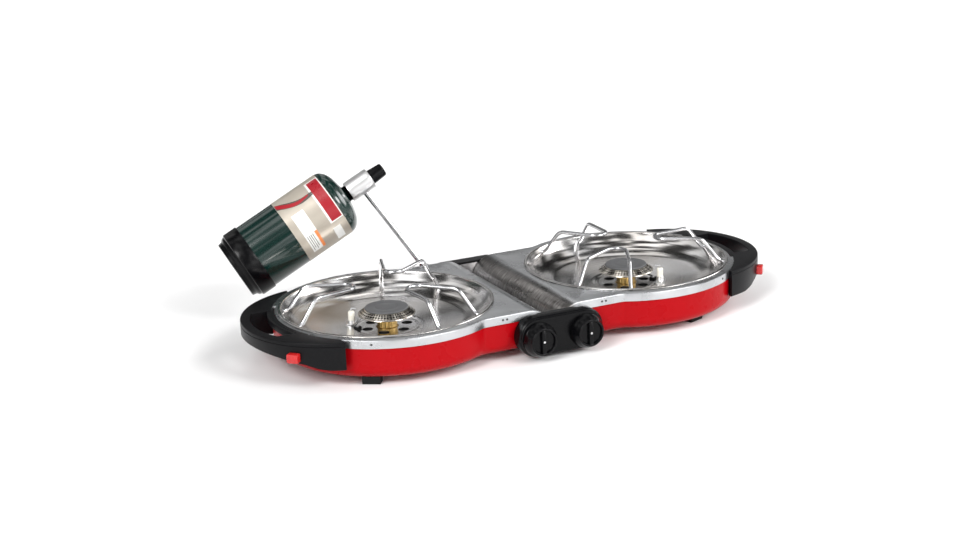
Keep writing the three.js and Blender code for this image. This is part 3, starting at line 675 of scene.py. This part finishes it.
def case_shell():
    """The open tub under the plate, with a rounded foot to its wall."""
    outline = [(p - n * CASE_INSET, n) for p, n, _ in half_outline()]
    side_y = WAIST - CASE_INSET
    steps = 10
    for x in spread(HINGE_X, CASE_INNER_X, steps)[1:-1]:
        outline.append((Vector((x, side_y, 0)), Vector((0, 1, 0))))
    outline.append((Vector((CASE_INNER_X, side_y, 0)), Vector((-1, 1, 0))))
    for y in spread(side_y, -side_y, 20)[1:-1]:
        outline.append((Vector((CASE_INNER_X, y, 0)), Vector((-1, 0, 0))))
    outline.append((Vector((CASE_INNER_X, -side_y, 0)), Vector((-1, -1, 0))))
    for x in spread(CASE_INNER_X, HINGE_X, steps)[1:-1]:
        outline.append((Vector((x, -side_y, 0)), Vector((0, -1, 0))))
    middle = Vector((BURNER_X, 0, 0))

    def inwards(point, outward, distance):
        """A point moved in from the outline, kept inside the two square inner corners."""
        result = point - outward * distance
        if point.x <= HINGE_X:
            reach = side_y - distance
            result.x = max(result.x, CASE_INNER_X + distance)
            result.y = min(max(result.y, -reach), reach)
        return result

    rings = []
    for point, outward in outline:
        ring = []
        for inset, order in ((0, 1), (CASE_WALL, -1)):
            bottom = CASE_BOTTOM + inset
            radius = CASE_ROUND - inset
            side = [(inset, case_top(point.x))]
            for degrees in spread(0, 90, 8):
                turn = polar(radius, degrees)
                side.append((inset + radius - turn.x, bottom + radius - turn.y))
            wall = [Vector((*inwards(point, outward, d).xy, z)) for d, z in side]
            wall.append(Vector((middle.x, middle.y, bottom)))
            ring += wall[::order]
        rings.append(ring)
    return loft(rings, wrap=True)


BOWL_INSIDE = [
    (15.6, -32.5), (42, -32.5), (46, -30.5), (84, -26), (106, -23.2), (120, -18),
    (132, -10.2), (140.3, -0.8), (142, 2.0), (144.2, 2.2), (146, 1.6),
]
BOWL_OUTSIDE = [
    (146.8, 0.3), (142.6, 0.3), (141.5, -1.2), (132.8, -11.2), (120.4, -19.1), (106.2, -24.2),
    (84, -27), (46.4, -31.5), (42.4, -33.5), (15.6, -33.5),
]


def bowl():
    """A shallow spun dish with a beaded rim that lies over the plate's hole."""
    return lathe(softened(BOWL_INSIDE + BOWL_OUTSIDE, 6, 4), 160)


def bowl_vents():
    """The round holes about the burner, as bars to cut with."""
    spots = [polar(VENT_RING_R, VENT_FIRST_DEG + 360 / VENTS * i) for i in range(VENTS)]
    return [rod(s + Vector((0, 0, -40)), s + Vector((0, 0, -25)), VENT_R, 40) for s in spots]


def pan_support():
    """One bent wire: a round tip near the burner and two legs out to the rim."""
    rise = Vector((0, 0, SUPPORT_RISE))
    tip = [polar(SUPPORT_TIP_R, a, SUPPORT_TIP_X) + rise for a in spread(108, 252, 24)]
    half = bent([SUPPORT_FOOT, SUPPORT_ANKLE, SUPPORT_BEND, tip[0]], 8, 8)[:-1]
    flip = Vector((1, -1, 1))
    return tube(half + tip + [p * flip for p in reversed(half)], WIRE_R, 20)


def fluted(count, depth, low, high):
    """A change for lathe: grooves between two heights."""
    def change(radius, height, angle):
        if low <= height <= high:
            radius -= depth * (0.5 + 0.5 * math.cos(count * angle))
        return radius, height
    return change


def burner_base():
    """The brass neck, fluted between the bowl and the burner head."""
    profile = [
        (0, -51), (16, -51), (16, -36.3), (20, -36.3), (20, -33.8), (15.2, -33.8), (15.2, -32.2), (15, -32),
        (NECK_R, -31.8), (NECK_R, -16), (NECK_R, -15.3), (10.5, -15.3), (10.5, -49), (0, -49),
    ]
    return lathe(profile, 192, fluted(FLUTES, FLUTE_DEPTH, -31.7, -15.9))


def burner_head():
    """The wide cone that spreads the gas, with a small rim below."""
    profile = [
        (10.5, -15), (37.4, -15), (38.6, -14.8), (HEAD_R, -14.2), (HEAD_R, -13.2), (38.7, -12.7),
        (38.0, -12.2), (CAP_R + 0.6, -7.3), (CAP_R + 0.1, -6.9), (CAP_R - 0.6, -6.8), (CAP_R - 2.6, -6.8),
        (34.5, -13.2), (10.5, -13.2),
    ]
    return lathe(profile, 160)


def burner_cap():
    """The flat lid on the burner head, with a shallow ring on its top."""
    plug = CAP_R - 3.4
    profile = [(0, -9), (plug, -9), (plug, -6.5), (CAP_R - 0.4, -6.5), (CAP_R, -6.2), (CAP_R, -5.6),
               (CAP_R - 0.6, -4.9), (CAP_R - 1.6, -4.6), (16, -4.6), (15.6, -4.75), (15.2, -4.6), (0, -4.6)]
    return lathe(profile, 128)


def insulator():
    """The igniter's ceramic sleeve, standing in the bowl."""
    return lathe([(0, -38), (2.2, -38), (2.2, -29), (4.1, -29), (4.6, -28.5), (4.6, -13.4), (4.3, -12.6),
                  (3.4, -11.6), (0, -11.6)], 48)


def electrode():
    """The igniter's bare wire, bent towards the burner."""
    return tube(bent([(0, 0, -11.8), (0, 0, -7.6), (-6.5, 0, -8.2)], 2), 0.9, 12)


def between(points, value):
    """The height that a list of (place, height) points gives at a place, or the first one outside it."""
    for (start, low), (end, high) in zip(points, points[1:]):
        if start <= value <= end:
            return low + (high - low) * (value - start) / (end - start)
    return points[0][1]


def bowl_depth(radius):
    """Height of the bowl's inner surface at a radius, from the plate."""
    return between(BOWL_INSIDE, radius)


def igniter_bracket():
    """A strap on the bowl with its rivet, and the collar that holds the insulator."""
    floor = bowl_depth(IGNITER_R)
    strap = moved(block(13, 32, 0.9, 3, 0.2), Matrix.Translation((1, -8, floor + 1.0)))
    rivet = moved(screw_head(2.2, 1.2), Matrix.Translation((1, -19, floor + 2.0)))
    collar = lathe([(4.7, floor), (5.6, floor), (5.6, floor + 3), (5.2, floor + 3.6), (5.2, floor + 5.6),
                    (4.7, floor + 5.9)], 40)
    return join(strap, rivet, collar)


def vent_shade_ring():
    """A flat black ring just under the bowl's vents, painted shade that makes the vents look dark."""
    return lathe([(20.6, -35.6), (52, -35.6), (52, -34.8), (20.6, -34.8)], 64)


def grommet():
    return lathe([(2.2, 0), (5.2, 0), (5.6, 0.5), (5.6, 2), (5, 2.8), (3, 2.8), (2.2, 2)], 32)


def grommet_wire():
    return lathe([(0, 0), (2.1, 0), (2.1, 3.8), (1.6, 4.4), (0, 4.4)], 24)


def handle_bottom(x):
    """Height of the handle's underside, deepest beside the case."""
    return between([(270, 26.5), (314, 26.5), (328, 29), (341, 34), (360, 38.3), (390, 45)], x)


def swept(section, degrees):
    """A (radius, height) section swept about the round end's centre, from -degrees to degrees."""
    rings = []
    for angle in spread(-degrees, degrees, 28):
        rings.append([polar(radius, angle, END_X) + Vector((0, 0, z)) for radius, z in section])
    return loft(rings)


def handle():
    """The grip and its two roots, as slices that each run from the case wall or hand gap outwards."""
    grip = math.degrees(math.asin(HAND_GAP / GRIP_R))
    root = math.degrees(math.asin(HAND_GAP / WALL_R))

    def root_slices(end_x, sign):
        """From the root's end, at end_x, to the hand gap."""
        outer = math.degrees(math.acos((end_x - HANDLE_X) / HANDLE_R))
        wall = math.degrees(math.acos((end_x - END_X) / WALL_R))
        return [(polar(HANDLE_R, sign * a, HANDLE_X), polar(WALL_R, sign * b, END_X))
                for a, b in zip(spread(outer, grip, 18), spread(wall, root, 18))]

    slices = root_slices(HANDLE_END_X["front"], -1)
    for a in spread(-grip, grip, 24):
        slices.append((polar(HANDLE_R, a, HANDLE_X), polar(GRIP_R, a, HANDLE_X)))
    slices += reversed(root_slices(HANDLE_END_X["back"], 1))
    top = PLATE_TOP
    rings = []
    for out, inn in slices:
        inward = (inn - out).normalized()
        in_grip = (inn - Vector((HANDLE_X, 0, 0))).length < GRIP_R + 0.01
        step = 0.0 if in_grip else 1.4
        low_out, low_in = handle_bottom(out.x), handle_bottom(inn.x)
        ring = []
        for depth, z in ((1.6, top), (0.5, top - 0.35), (0, top - 1.4), (0, top - 4.2), (0.7, top - 4.6),
                         (0.7, top - 5.4), (0, top - 5.8), (0, low_out + 1.6), (0.5, low_out + 0.5),
                         (1.6, low_out)):
            ring.append(out + inward * depth + Vector((0, 0, z)))
        for depth, z in ((1.6, low_in), (0.4, low_in + 0.4), (0, low_in + 1.6), (0, top - 1.35),
                         (step, top - 1.3), (step, top - 0.6), (step + 0.5, top)):
            ring.append(inn - inward * depth + Vector((0, 0, z)))
        rings.append(ring)
    edge = math.degrees(math.asin((HAND_GAP + 2) / RIM_R))
    rim = [(WALL_R, top - 1.3), (WALL_R, top - 9.4), (RIM_R - 0.8, top - 10),
           (RIM_R, top - 9.2), (RIM_R, top - 1.4), (RIM_R - 0.8, top - 0.8)]
    lip = [(RECESS_R + 0.3, top - 1.2), (WALL_R + 2.2, top - 1.2), (WALL_R + 2.2, top - 0.6),
           (RECESS_R + 0.3, top - 0.6)]
    return join(loft(rings), swept(rim, edge), swept(lip, RECESS_DEG - 0.5))


def on_handle(degrees, along, height):
    """A frame on the handle's outer arc: z points outwards, y up."""
    direction = polar(1, degrees)
    up = Vector((0, 0, 1))
    side = up.cross(direction)
    spot = polar(along, degrees, HANDLE_X)
    matrix = Matrix((side, up, direction)).transposed().to_4x4()
    matrix.translation = Vector((spot.x, spot.y, height))
    return matrix


def screw_head(radius, height):
    """A domed head with a round recess."""
    return lathe([(0, -0.4), (radius, -0.4), (radius, height * 0.5), (radius * 0.7, height),
                  (radius * 0.45, height), (radius * 0.4, height * 0.4), (0, height * 0.4)], 24)


def facing(point, outward):
    """A frame at a point with z along the given direction."""
    turn = Vector((0, 0, 1)).rotation_difference(outward).to_matrix().to_4x4()
    return Matrix.Translation(point) @ turn


def band_screws():
    """Small screws that hold the flange to the case."""
    height = PLATE_TOP - SCREW_DOWN
    spots = []
    for sign in (-1, 1):
        for x in SCREW_X:
            spots.append((Vector((x, sign * WAIST, height)), Vector((0, sign, 0))))
        angle = sign * math.degrees(math.acos((END_SCREW_X - END_X) / END_R))
        spots.append((polar(END_R, angle, END_X) + Vector((0, 0, height)), polar(1, angle)))
    return join(*(moved(screw_head(1.5, 0.7), facing(p, n)) for p, n in spots))


def build_half(side):
    body = f"{side}_half"
    place = Matrix.Rotation(math.pi if side == "left" else 0, 4, "Z")
    centre = place @ Matrix.Translation((BURNER_X, 0, PLATE_TOP))
    button_deg = BUTTON_DEG[side]

    def put(name, shape, where, look, slot, **more):
        stand_in(f"{side}_{name}", shape, where, look, body, slot, **more)

    put("case", case_shell(), place, "red", "red_enamel")
    put("top_plate", top_plate(), place, f"plate_{side}", "galvanised_steel")
    piece(f"{side}_flange_screws", band_screws(), place, "dark_steel", body, "steel")
    width, height = BUTTON_SIZE
    pocket = moved(block(width + POCKET_GAP, height + POCKET_GAP, 40, BUTTON_ROUND + POCKET_GAP / 2, 0.01),
                   on_handle(button_deg, HANDLE_R - BUTTON_BURIED - POCKET_DEEPER, BUTTON_Z))
    put("handle", handle(), place, "black", "black_plastic", cutters=[pocket])
    button = moved(block(width, height, BUTTON_OUT + BUTTON_BURIED, BUTTON_ROUND, 1),
                   on_handle(button_deg, HANDLE_R - BUTTON_BURIED, BUTTON_Z))
    piece(f"{side}_button_look", button, place, "button", f"{side}_igniter", "red_plastic",
          f"{side}_igniter_button")

    put("bowl", bowl(), centre, "bowl", "polished_aluminium", cutters=bowl_vents(), local=True)
    put("burner_base", burner_base(), centre, "brass", "brass")
    put("burner_head", burner_head(), centre, "head", "cast_aluminium", local=True)
    put("burner_cap", burner_cap(), centre, "cast", "cast_aluminium")
    for i, degrees in enumerate(SUPPORT_DEG[side]):
        turn = centre @ Matrix.Rotation(math.radians(degrees), 4, "Z")
        put(f"pan_support_{i + 1}", pan_support(), turn, "chrome", "chrome")
    spot = polar(IGNITER_R, IGNITER_DEG)
    igniter = centre @ Matrix.Translation(spot) @ Matrix.Rotation(math.radians(IGNITER_DEG), 4, "Z")
    put("igniter_insulator", insulator(), igniter, "ceramic", "white_ceramic")
    put("electrode", electrode(), igniter, "steel", "steel")

    piece(f"{side}_igniter_bracket", igniter_bracket(), igniter, "satin", body, "steel")
    # A black ring under the vents: painted shade seen through them.
    piece(f"{side}_vent_shade_ring", vent_shade_ring(), centre, "rubber", body)
    where = polar(GROMMET_R, GROMMET_DEG)
    seat = centre @ Matrix.Translation((where.x, where.y, bowl_depth(GROMMET_R)))
    piece(f"{side}_grommet", grommet(), seat, "rubber", body, "black_rubber")
    piece(f"{side}_grommet_wire", grommet_wire(), seat, "steel", body, "steel")


# ---- The fixed centre ----

def obround(radius, y):
    """Two half circles about the knobs' centres, joined by straight sides, at one depth."""
    points = [Vector((KNOB_X, 0, HINGE_Z)) + Vector((radius * math.cos(a), y, radius * math.sin(a)))
              for a in spread(-math.pi / 2, math.pi / 2, 32)]
    flip = Vector((-1, 1, 1))
    return points + [p * flip for p in reversed(points)]


def housing(radius, step, face, sign):
    """A hollow obround cover, closed in front, with a stepped and bevelled face."""
    back = HOUSING_BACK_Y
    inside = [(radius - HOUSING_WALL, face - 3), (radius - HOUSING_WALL, back)]
    outside = [
        (radius - 0.4, back), (radius, back + 0.4), (radius, step - 2.2), (radius - 0.5, step - 1.0),
        (radius - 1.5, step), (radius - 2.2, step + 0.05), (radius - 2.4, face - 0.8),
        (radius - 2.9, face - 0.2), (radius - 3.8, face),
    ]
    return loft([obround(r, sign * y) for r, y in inside + outside])


def knob_shape():
    """A round skirt with a bar across its dished face to grip it by."""
    profile = [
        (0, 0), (23.3, 0), (23.5, 0.4), (23.5, 3.2), (23.2, 5.2), (21.9, 9.2), (20.2, 12.4), (19.0, 14.6),
        (18.7, 15.8), (18.2, 16.2), (16.4, 16.2), (15.9, 15.6), (15.2, 12.2), (14.6, 11.9), (0, 11.9),
    ]
    grip = []
    for z, width in ((10.5, 8.4), (13.2, 7.2), (15.2, 6.4), (15.8, 5.6), (16.0, 4.4)):
        grip.append([p + Vector((0, 0, z)) for p in rounded_rectangle(width, 32.4, 2.1)])
    return join(lathe(softened(profile, 0.5, 2), 128), loft(grip))


def build_centre():
    whole = Matrix.Identity(4)
    stand_in("control_housing", housing(FRONT_R, FRONT_STEP_Y, -FRONT_LOW.y, -1), whole,
             "gloss_black", "centre", "black_plastic")
    stand_in("rear_housing", housing(REAR_R, REAR_STEP_Y, REAR_HIGH.y, 1), whole,
             "black", "centre", "black_plastic")
    for name, side in (("left", -1), ("right", 1)):
        middle = Matrix.Translation((side * KNOB_X, KNOB_BACK_Y, KNOB_Z))
        place = middle @ Matrix.Rotation(math.pi / 2, 4, "X")
        stand_in(f"{name}_knob", knob_shape(), place, "gloss_black", f"{name}_control", "black_plastic")
        dot = lathe([(0, 16.0), (1.5, 16.0), (1.5, 16.1), (1.3, 16.2), (0, 16.2)], 24)
        piece(f"{name}_knob_dot", dot, place, "dot", f"{name}_control")


# ---- The gas supply ----

SUPPLY = facing(CYLINDER_BASE, CYLINDER_AXIS)
ARM_END = CYLINDER_BASE + CYLINDER_AXIS * ARM_ALONG
ARM_AXIS = (ARM_END - INLET).normalized()


def front_angle():
    """Degrees about the cylinder's axis at which its surface faces the front."""
    front = SUPPLY.to_3x3().inverted() @ Vector((0, -1, 0))
    return math.degrees(math.atan2(front.y, front.x))


def patch(low, high, from_deg, to_deg, lift):
    """A printed area on the cylinder. Its sides are degrees from the front, or functions of 0..1 up it."""
    def side(value, t):
        return value(t) if callable(value) else value

    width = max(abs(side(to_deg, t) - side(from_deg, t)) for t in (0, 0.5, 1))
    across = max(2, round(width / 4))
    rings = []
    for t in spread(0, 1, 16 if callable(from_deg) else 1):
        angles = spread(side(from_deg, t), side(to_deg, t), across)
        height = Vector((0, 0, low + (high - low) * t))
        ring = [polar(CYLINDER_R + lift, front_angle() + a) + height for a in angles]
        inner = CYLINDER_R + lift - PRINT_THICKNESS
        ring += [polar(inner, front_angle() + a) + height for a in reversed(angles)]
        rings.append(ring)
    return loft(rings)


def build_label():
    """Plain printed areas with no lettering, at heights from the cylinder's base."""
    def stick(name, look, *area):
        piece(name, patch(*area), SUPPLY, look, "gas_cylinder")

    def sweep(t):
        """Degrees of the swoosh's middle, curving round as it climbs."""
        return -72 + 20 * math.sin(math.pi * min(1.35 * t, 1) / 2) - 7 * t * t

    def swoosh(name, look, low, high, before, after, lift):
        """A stripe along the sweep that widens downwards on one side."""
        stick(name, look, low, high, lambda t: sweep(t) - before - 9 * (1 - t),
              lambda t: sweep(t) + after, lift)

    stick("label_ground", "label", *LABEL_SPAN, -178, 178, GROUND_LIFT)
    stick("label_white_frame", "label_white", 144.5, 165.4, -86, 4, PRINT_LIFT)
    stick("label_red_field", "label_red", 147.5, 164.2, -84, 2, TOP_LIFT)
    stick("label_panel", "label_white", 103, 123, -43, 36, PRINT_LIFT)
    stick("label_panel_bar", "label_orange", 118.5, 123, -2, 36, TOP_LIFT)
    stick("label_small_panel", "label_white", 143, 155, 14, 46, PRINT_LIFT)
    swoosh("label_swoosh_edge", "label_dark", 92.5, 152, 3, 3.4, PRINT_LIFT)
    swoosh("label_swoosh", "label_red", 93, 141, 2, 1, TOP_LIFT)
    for row in range(4):
        height = 105.5 + 2.9 * row
        stick(f"label_panel_rule_{row}", "label_dark", height, height + 0.8, 0, 32 - 5 * (row % 2), TOP_LIFT)


def build_cylinder():
    shell = [
        (0, 4), (40, 4), (44.6, 6.4), (48, 9.8), (49.5, 13.5), (49.5, 166), (48.6, 171), (46, 175.4),
        (41.5, 179.8), (36, 183), (26, 186.2), (14, 188.6), (10.2, 188.8), (10.2, 187.5), (30, 184),
        (44.8, 174), (48.4, 166), (48.4, 14), (39.4, 5.1), (0, 5.1),
    ]
    stand_in("cylinder_shell", lathe(softened(shell, 2.4, 3), 128), SUPPLY,
             "green", "gas_cylinder", "green_enamel")
    boot = [
        (22, -3), (41.6, -3), (43, -2.4), (43.6, -1), (44, 2), (45, 4), (47.3, 5.8), (48, 7.4),
        (48.6, 9.2), (50, 9.9), (50.8, 10.7), (51, 12), (51, 31.2), (50.6, 31.8), (50, 32), (50, 13.2),
        (40, 3.6), (22, 3.6),
    ]
    stand_in("cylinder_boot", lathe(boot, 128), SUPPLY, "gloss_black", "gas_cylinder", "black_plastic")
    valve = [(0, 178), (9.8, 178), (9.8, 188.9), (11.4, 189.2)]
    for k in range(11):
        valve += [(12.3, 189.6 + 1.2 * k), (11.4, 190.2 + 1.2 * k)]
    valve += [(12.2, 203), (0, 203)]
    stand_in("cylinder_valve", lathe(valve, 64), SUPPLY, "gloss_black", "gas_cylinder", "black_plastic")
    build_label()


def build_regulator():
    low, high = 193.6, 231.5
    straight = [199, 204, 209, 214, 219, 225]
    body = [(12.9, low), (14.7, low), (15.2, low + 0.3), (15.4, low + 1.0)]
    body += [(15.4, height) for height in straight]
    body += [(15.4, high - 1.1), (15.2, high - 0.4), (14.4, high), (0, high), (0, 204), (12.9, 204)]
    to_local = SUPPLY.inverted()
    bore = rod(to_local @ (ARM_END - ARM_AXIS * 9), to_local @ INLET, ARM_R + 0.3, 32)
    stand_in("regulator_body", lathe(body, 96), SUPPLY, "satin", "gas_arm", "chrome", cutters=[bore])
    cap = [(0, 231.8), (10.7, 231.8), (11, 232.1), (10.9, 234), (9.7, 251.4), (9.4, 252.8), (8.5, 253.8),
           (7.6, 254), (0, 254)]
    stand_in("regulator_cap", lathe(cap, 64), SUPPLY, "gloss_black", "gas_arm", "black_plastic")


def build_arm():
    """The arm and its union nut, along the arm's own axis from the inlet."""
    place = facing(INLET, ARM_AXIS)
    reach = (ARM_END - INLET).length - 9.4
    bar = [(0, 5.8), (ARM_R - 0.4, 5.8), (ARM_R, 6.2), (ARM_R, reach), (0, reach)]
    stand_in("regulator_arm", lathe(bar, 48), place, "arm", "gas_arm", "chrome")
    rings = []
    for z, radius in ((2.5, 7.2), (3.3, 8), (9.2, 8), (10, 7.2)):
        rings.append([polar(radius, 60 * k + d) + Vector((0, 0, z)) for k in range(6) for d in (-2, 2)])
    bore = lathe([(0, 2), (5.8, 2), (5.8, 6.5), (4.3, 6.5), (4.3, 11), (0, 11)], 32)
    stand_in("arm_nut", loft(rings), place, "steel", "gas_arm", "steel", cutters=[bore], sharp=25)


# ---- CAD nodes that keep their shape ----

KEPT_LOOKS = {
    "front_hinge_plate": "steel", "rear_hinge_plate": "steel", "centre_spine": "plate_left",
    "gas_manifold": "brass", "inlet_fitting": "brass",
}
SIDE_LOOKS = {
    "mixing_tube": "steel", "valve": "brass", "valve_stem": "brass", "igniter_lead": "rubber",
    "piezo_igniter": "black", "front_foot": "rubber", "back_foot": "rubber",
}
for name, look in SIDE_LOOKS.items():
    KEPT_LOOKS.update({f"left_{name}": look, f"right_{name}": look})


def dress_kept_nodes():
    """Gives these nodes their materials, and softens the edges of the feet."""
    for node, look in KEPT_LOOKS.items():
        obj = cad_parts[node]
        obj.data.materials.clear()
        obj.data.materials.append(LOOKS[look])
        if node.endswith("_foot"):
            edge = obj.modifiers.new("soft_edges", "BEVEL")
            edge.width = 0.6 * MM
            edge.segments = 2
            edge.limit_method = "ANGLE"


# ---- Floor, light and camera, in metres ----

FLOOR_REACH = 6.0
FLOOR_GAP = 0.0002
CAMERA_PLACE = Vector((-1.0548, -2.1762, 0.7455 + PLATE_TOP * MM))
CAMERA_RIGHT = Vector((0.895, -0.445, -0.034))
CAMERA_BACK = Vector((-0.417, -0.860, 0.2945))
CAMERA_LENS_MM = 66.77
CAMERA_SHIFT = (-0.0213, 0.0057)


def sun(name, towards, strength, width_deg):
    """An even light from one side; towards points from the stove to the light."""
    lamp = bpy.data.lights.new(name, "SUN")
    lamp.energy = strength
    lamp.angle = math.radians(width_deg)
    obj = bpy.data.objects.new(name, lamp)
    obj.rotation_euler = (-Vector(towards)).to_track_quat("-Z", "Y").to_euler()
    bpy.context.scene.collection.objects.link(obj)


def build_world():
    """White below the horizon. Above it a dim studio with soft light and dark areas."""
    world = bpy.data.worlds.new("studio")
    bpy.context.scene.world = world
    world.use_nodes = True
    tree = world.node_tree
    back = tree.nodes["Background"]
    where = tree.nodes.new("ShaderNodeTexCoord")
    split = tree.nodes.new("ShaderNodeSeparateXYZ")
    link(tree, where, "Generated", split, "Vector")

    def heights(*stops):
        """Grey by height above the horizon."""
        ramp = tree.nodes.new("ShaderNodeValToRGB")
        marks = ramp.color_ramp.elements
        marks[0].position, marks[1].position = stops[0][0], stops[-1][0]
        for position, _ in stops[1:-1]:
            marks.new(position)
        for mark, (_, shade) in zip(marks, stops):
            mark.color = (shade, shade, shade, 1)
        link(tree, split, "Z", ramp, "Fac")
        return ramp

    front = heights((0.0, 1.0), (0.08, 0.8), (0.25, 0.5), (0.6, 0.26), (1.0, 0.3))
    behind = heights((0.0, 1.0), (0.02, 0.25), (0.1, 0.09), (0.35, 0.07), (0.6, 0.12), (1.0, 0.3))
    side = map_range(tree, split, "Y", (-0.4, 0.5), (0, 1))
    greys = mixed(tree, side.outputs["Result"], front.outputs["Color"], behind.outputs["Color"])

    panels = noise(tree, where, "Generated", 4, 1)
    shade = map_range(tree, panels, "Fac", (0.47, 0.6), (0.15, 6.5))
    above = map_range(tree, split, "Z", (0, 0.3), (0, 1))
    patchy = tree.nodes.new("ShaderNodeMix")
    link(tree, above, "Result", patchy, "Factor")
    preset(patchy, {"A": 1})
    link(tree, shade, "Result", patchy, "B")
    scaled = tree.nodes.new("ShaderNodeVectorMath")
    scaled.operation = "SCALE"
    tree.links.new(greys, scaled.inputs[0])
    link(tree, patchy, "Result", scaled, "Scale")
    link(tree, scaled, "Vector", back, "Color")
    preset(back, {"Strength": 1.1})


def build_stage():
    mesh = bpy.data.meshes.new("floor")
    corners = [(x * FLOOR_REACH, y * FLOOR_REACH, 0) for x, y in ((-1, -1), (1, -1), (1, 1), (-1, 1))]
    mesh.from_pydata(corners, [], [(0, 1, 2, 3)])
    floor = bpy.data.objects.new("floor", mesh)
    floor.location.z = -FLOOR_GAP
    bpy.context.scene.collection.objects.link(floor)
    pale = surface("pale_floor", (0.86, 0.86, 0.86), (0.88, 0.88, 0.88), 0.0, (0.7, 0.8), scale=3,
                   specular=0.1)
    floor.data.materials.append(pale)
    build_world()
    sun("front_left", (-0.85, -0.5, 0.75), 2.1, 24)
    sun("front_right", (0.5, -0.85, 0.65), 1.9, 24)
    sun("right", (0.95, -0.1, 0.5), 1.2, 30)


def build_camera():
    back = CAMERA_BACK.normalized()
    up = back.cross(CAMERA_RIGHT.normalized()).normalized()
    right = up.cross(back)
    camera = bpy.data.cameras.new("camera")
    camera.sensor_width = 36
    camera.lens = CAMERA_LENS_MM
    camera.shift_x, camera.shift_y = CAMERA_SHIFT
    obj = bpy.data.objects.new("camera", camera)
    matrix = Matrix((right, up, back)).transposed().to_4x4()
    matrix.translation = CAMERA_PLACE
    obj.matrix_world = matrix
    bpy.context.scene.collection.objects.link(obj)
    bpy.context.scene.camera = obj


bpy.context.scene.view_settings.view_transform = "Standard"
build_stage()
build_camera()
for half in ("left", "right"):
    build_half(half)
build_centre()
build_cylinder()
build_regulator()
build_arm()
dress_kept_nodes()
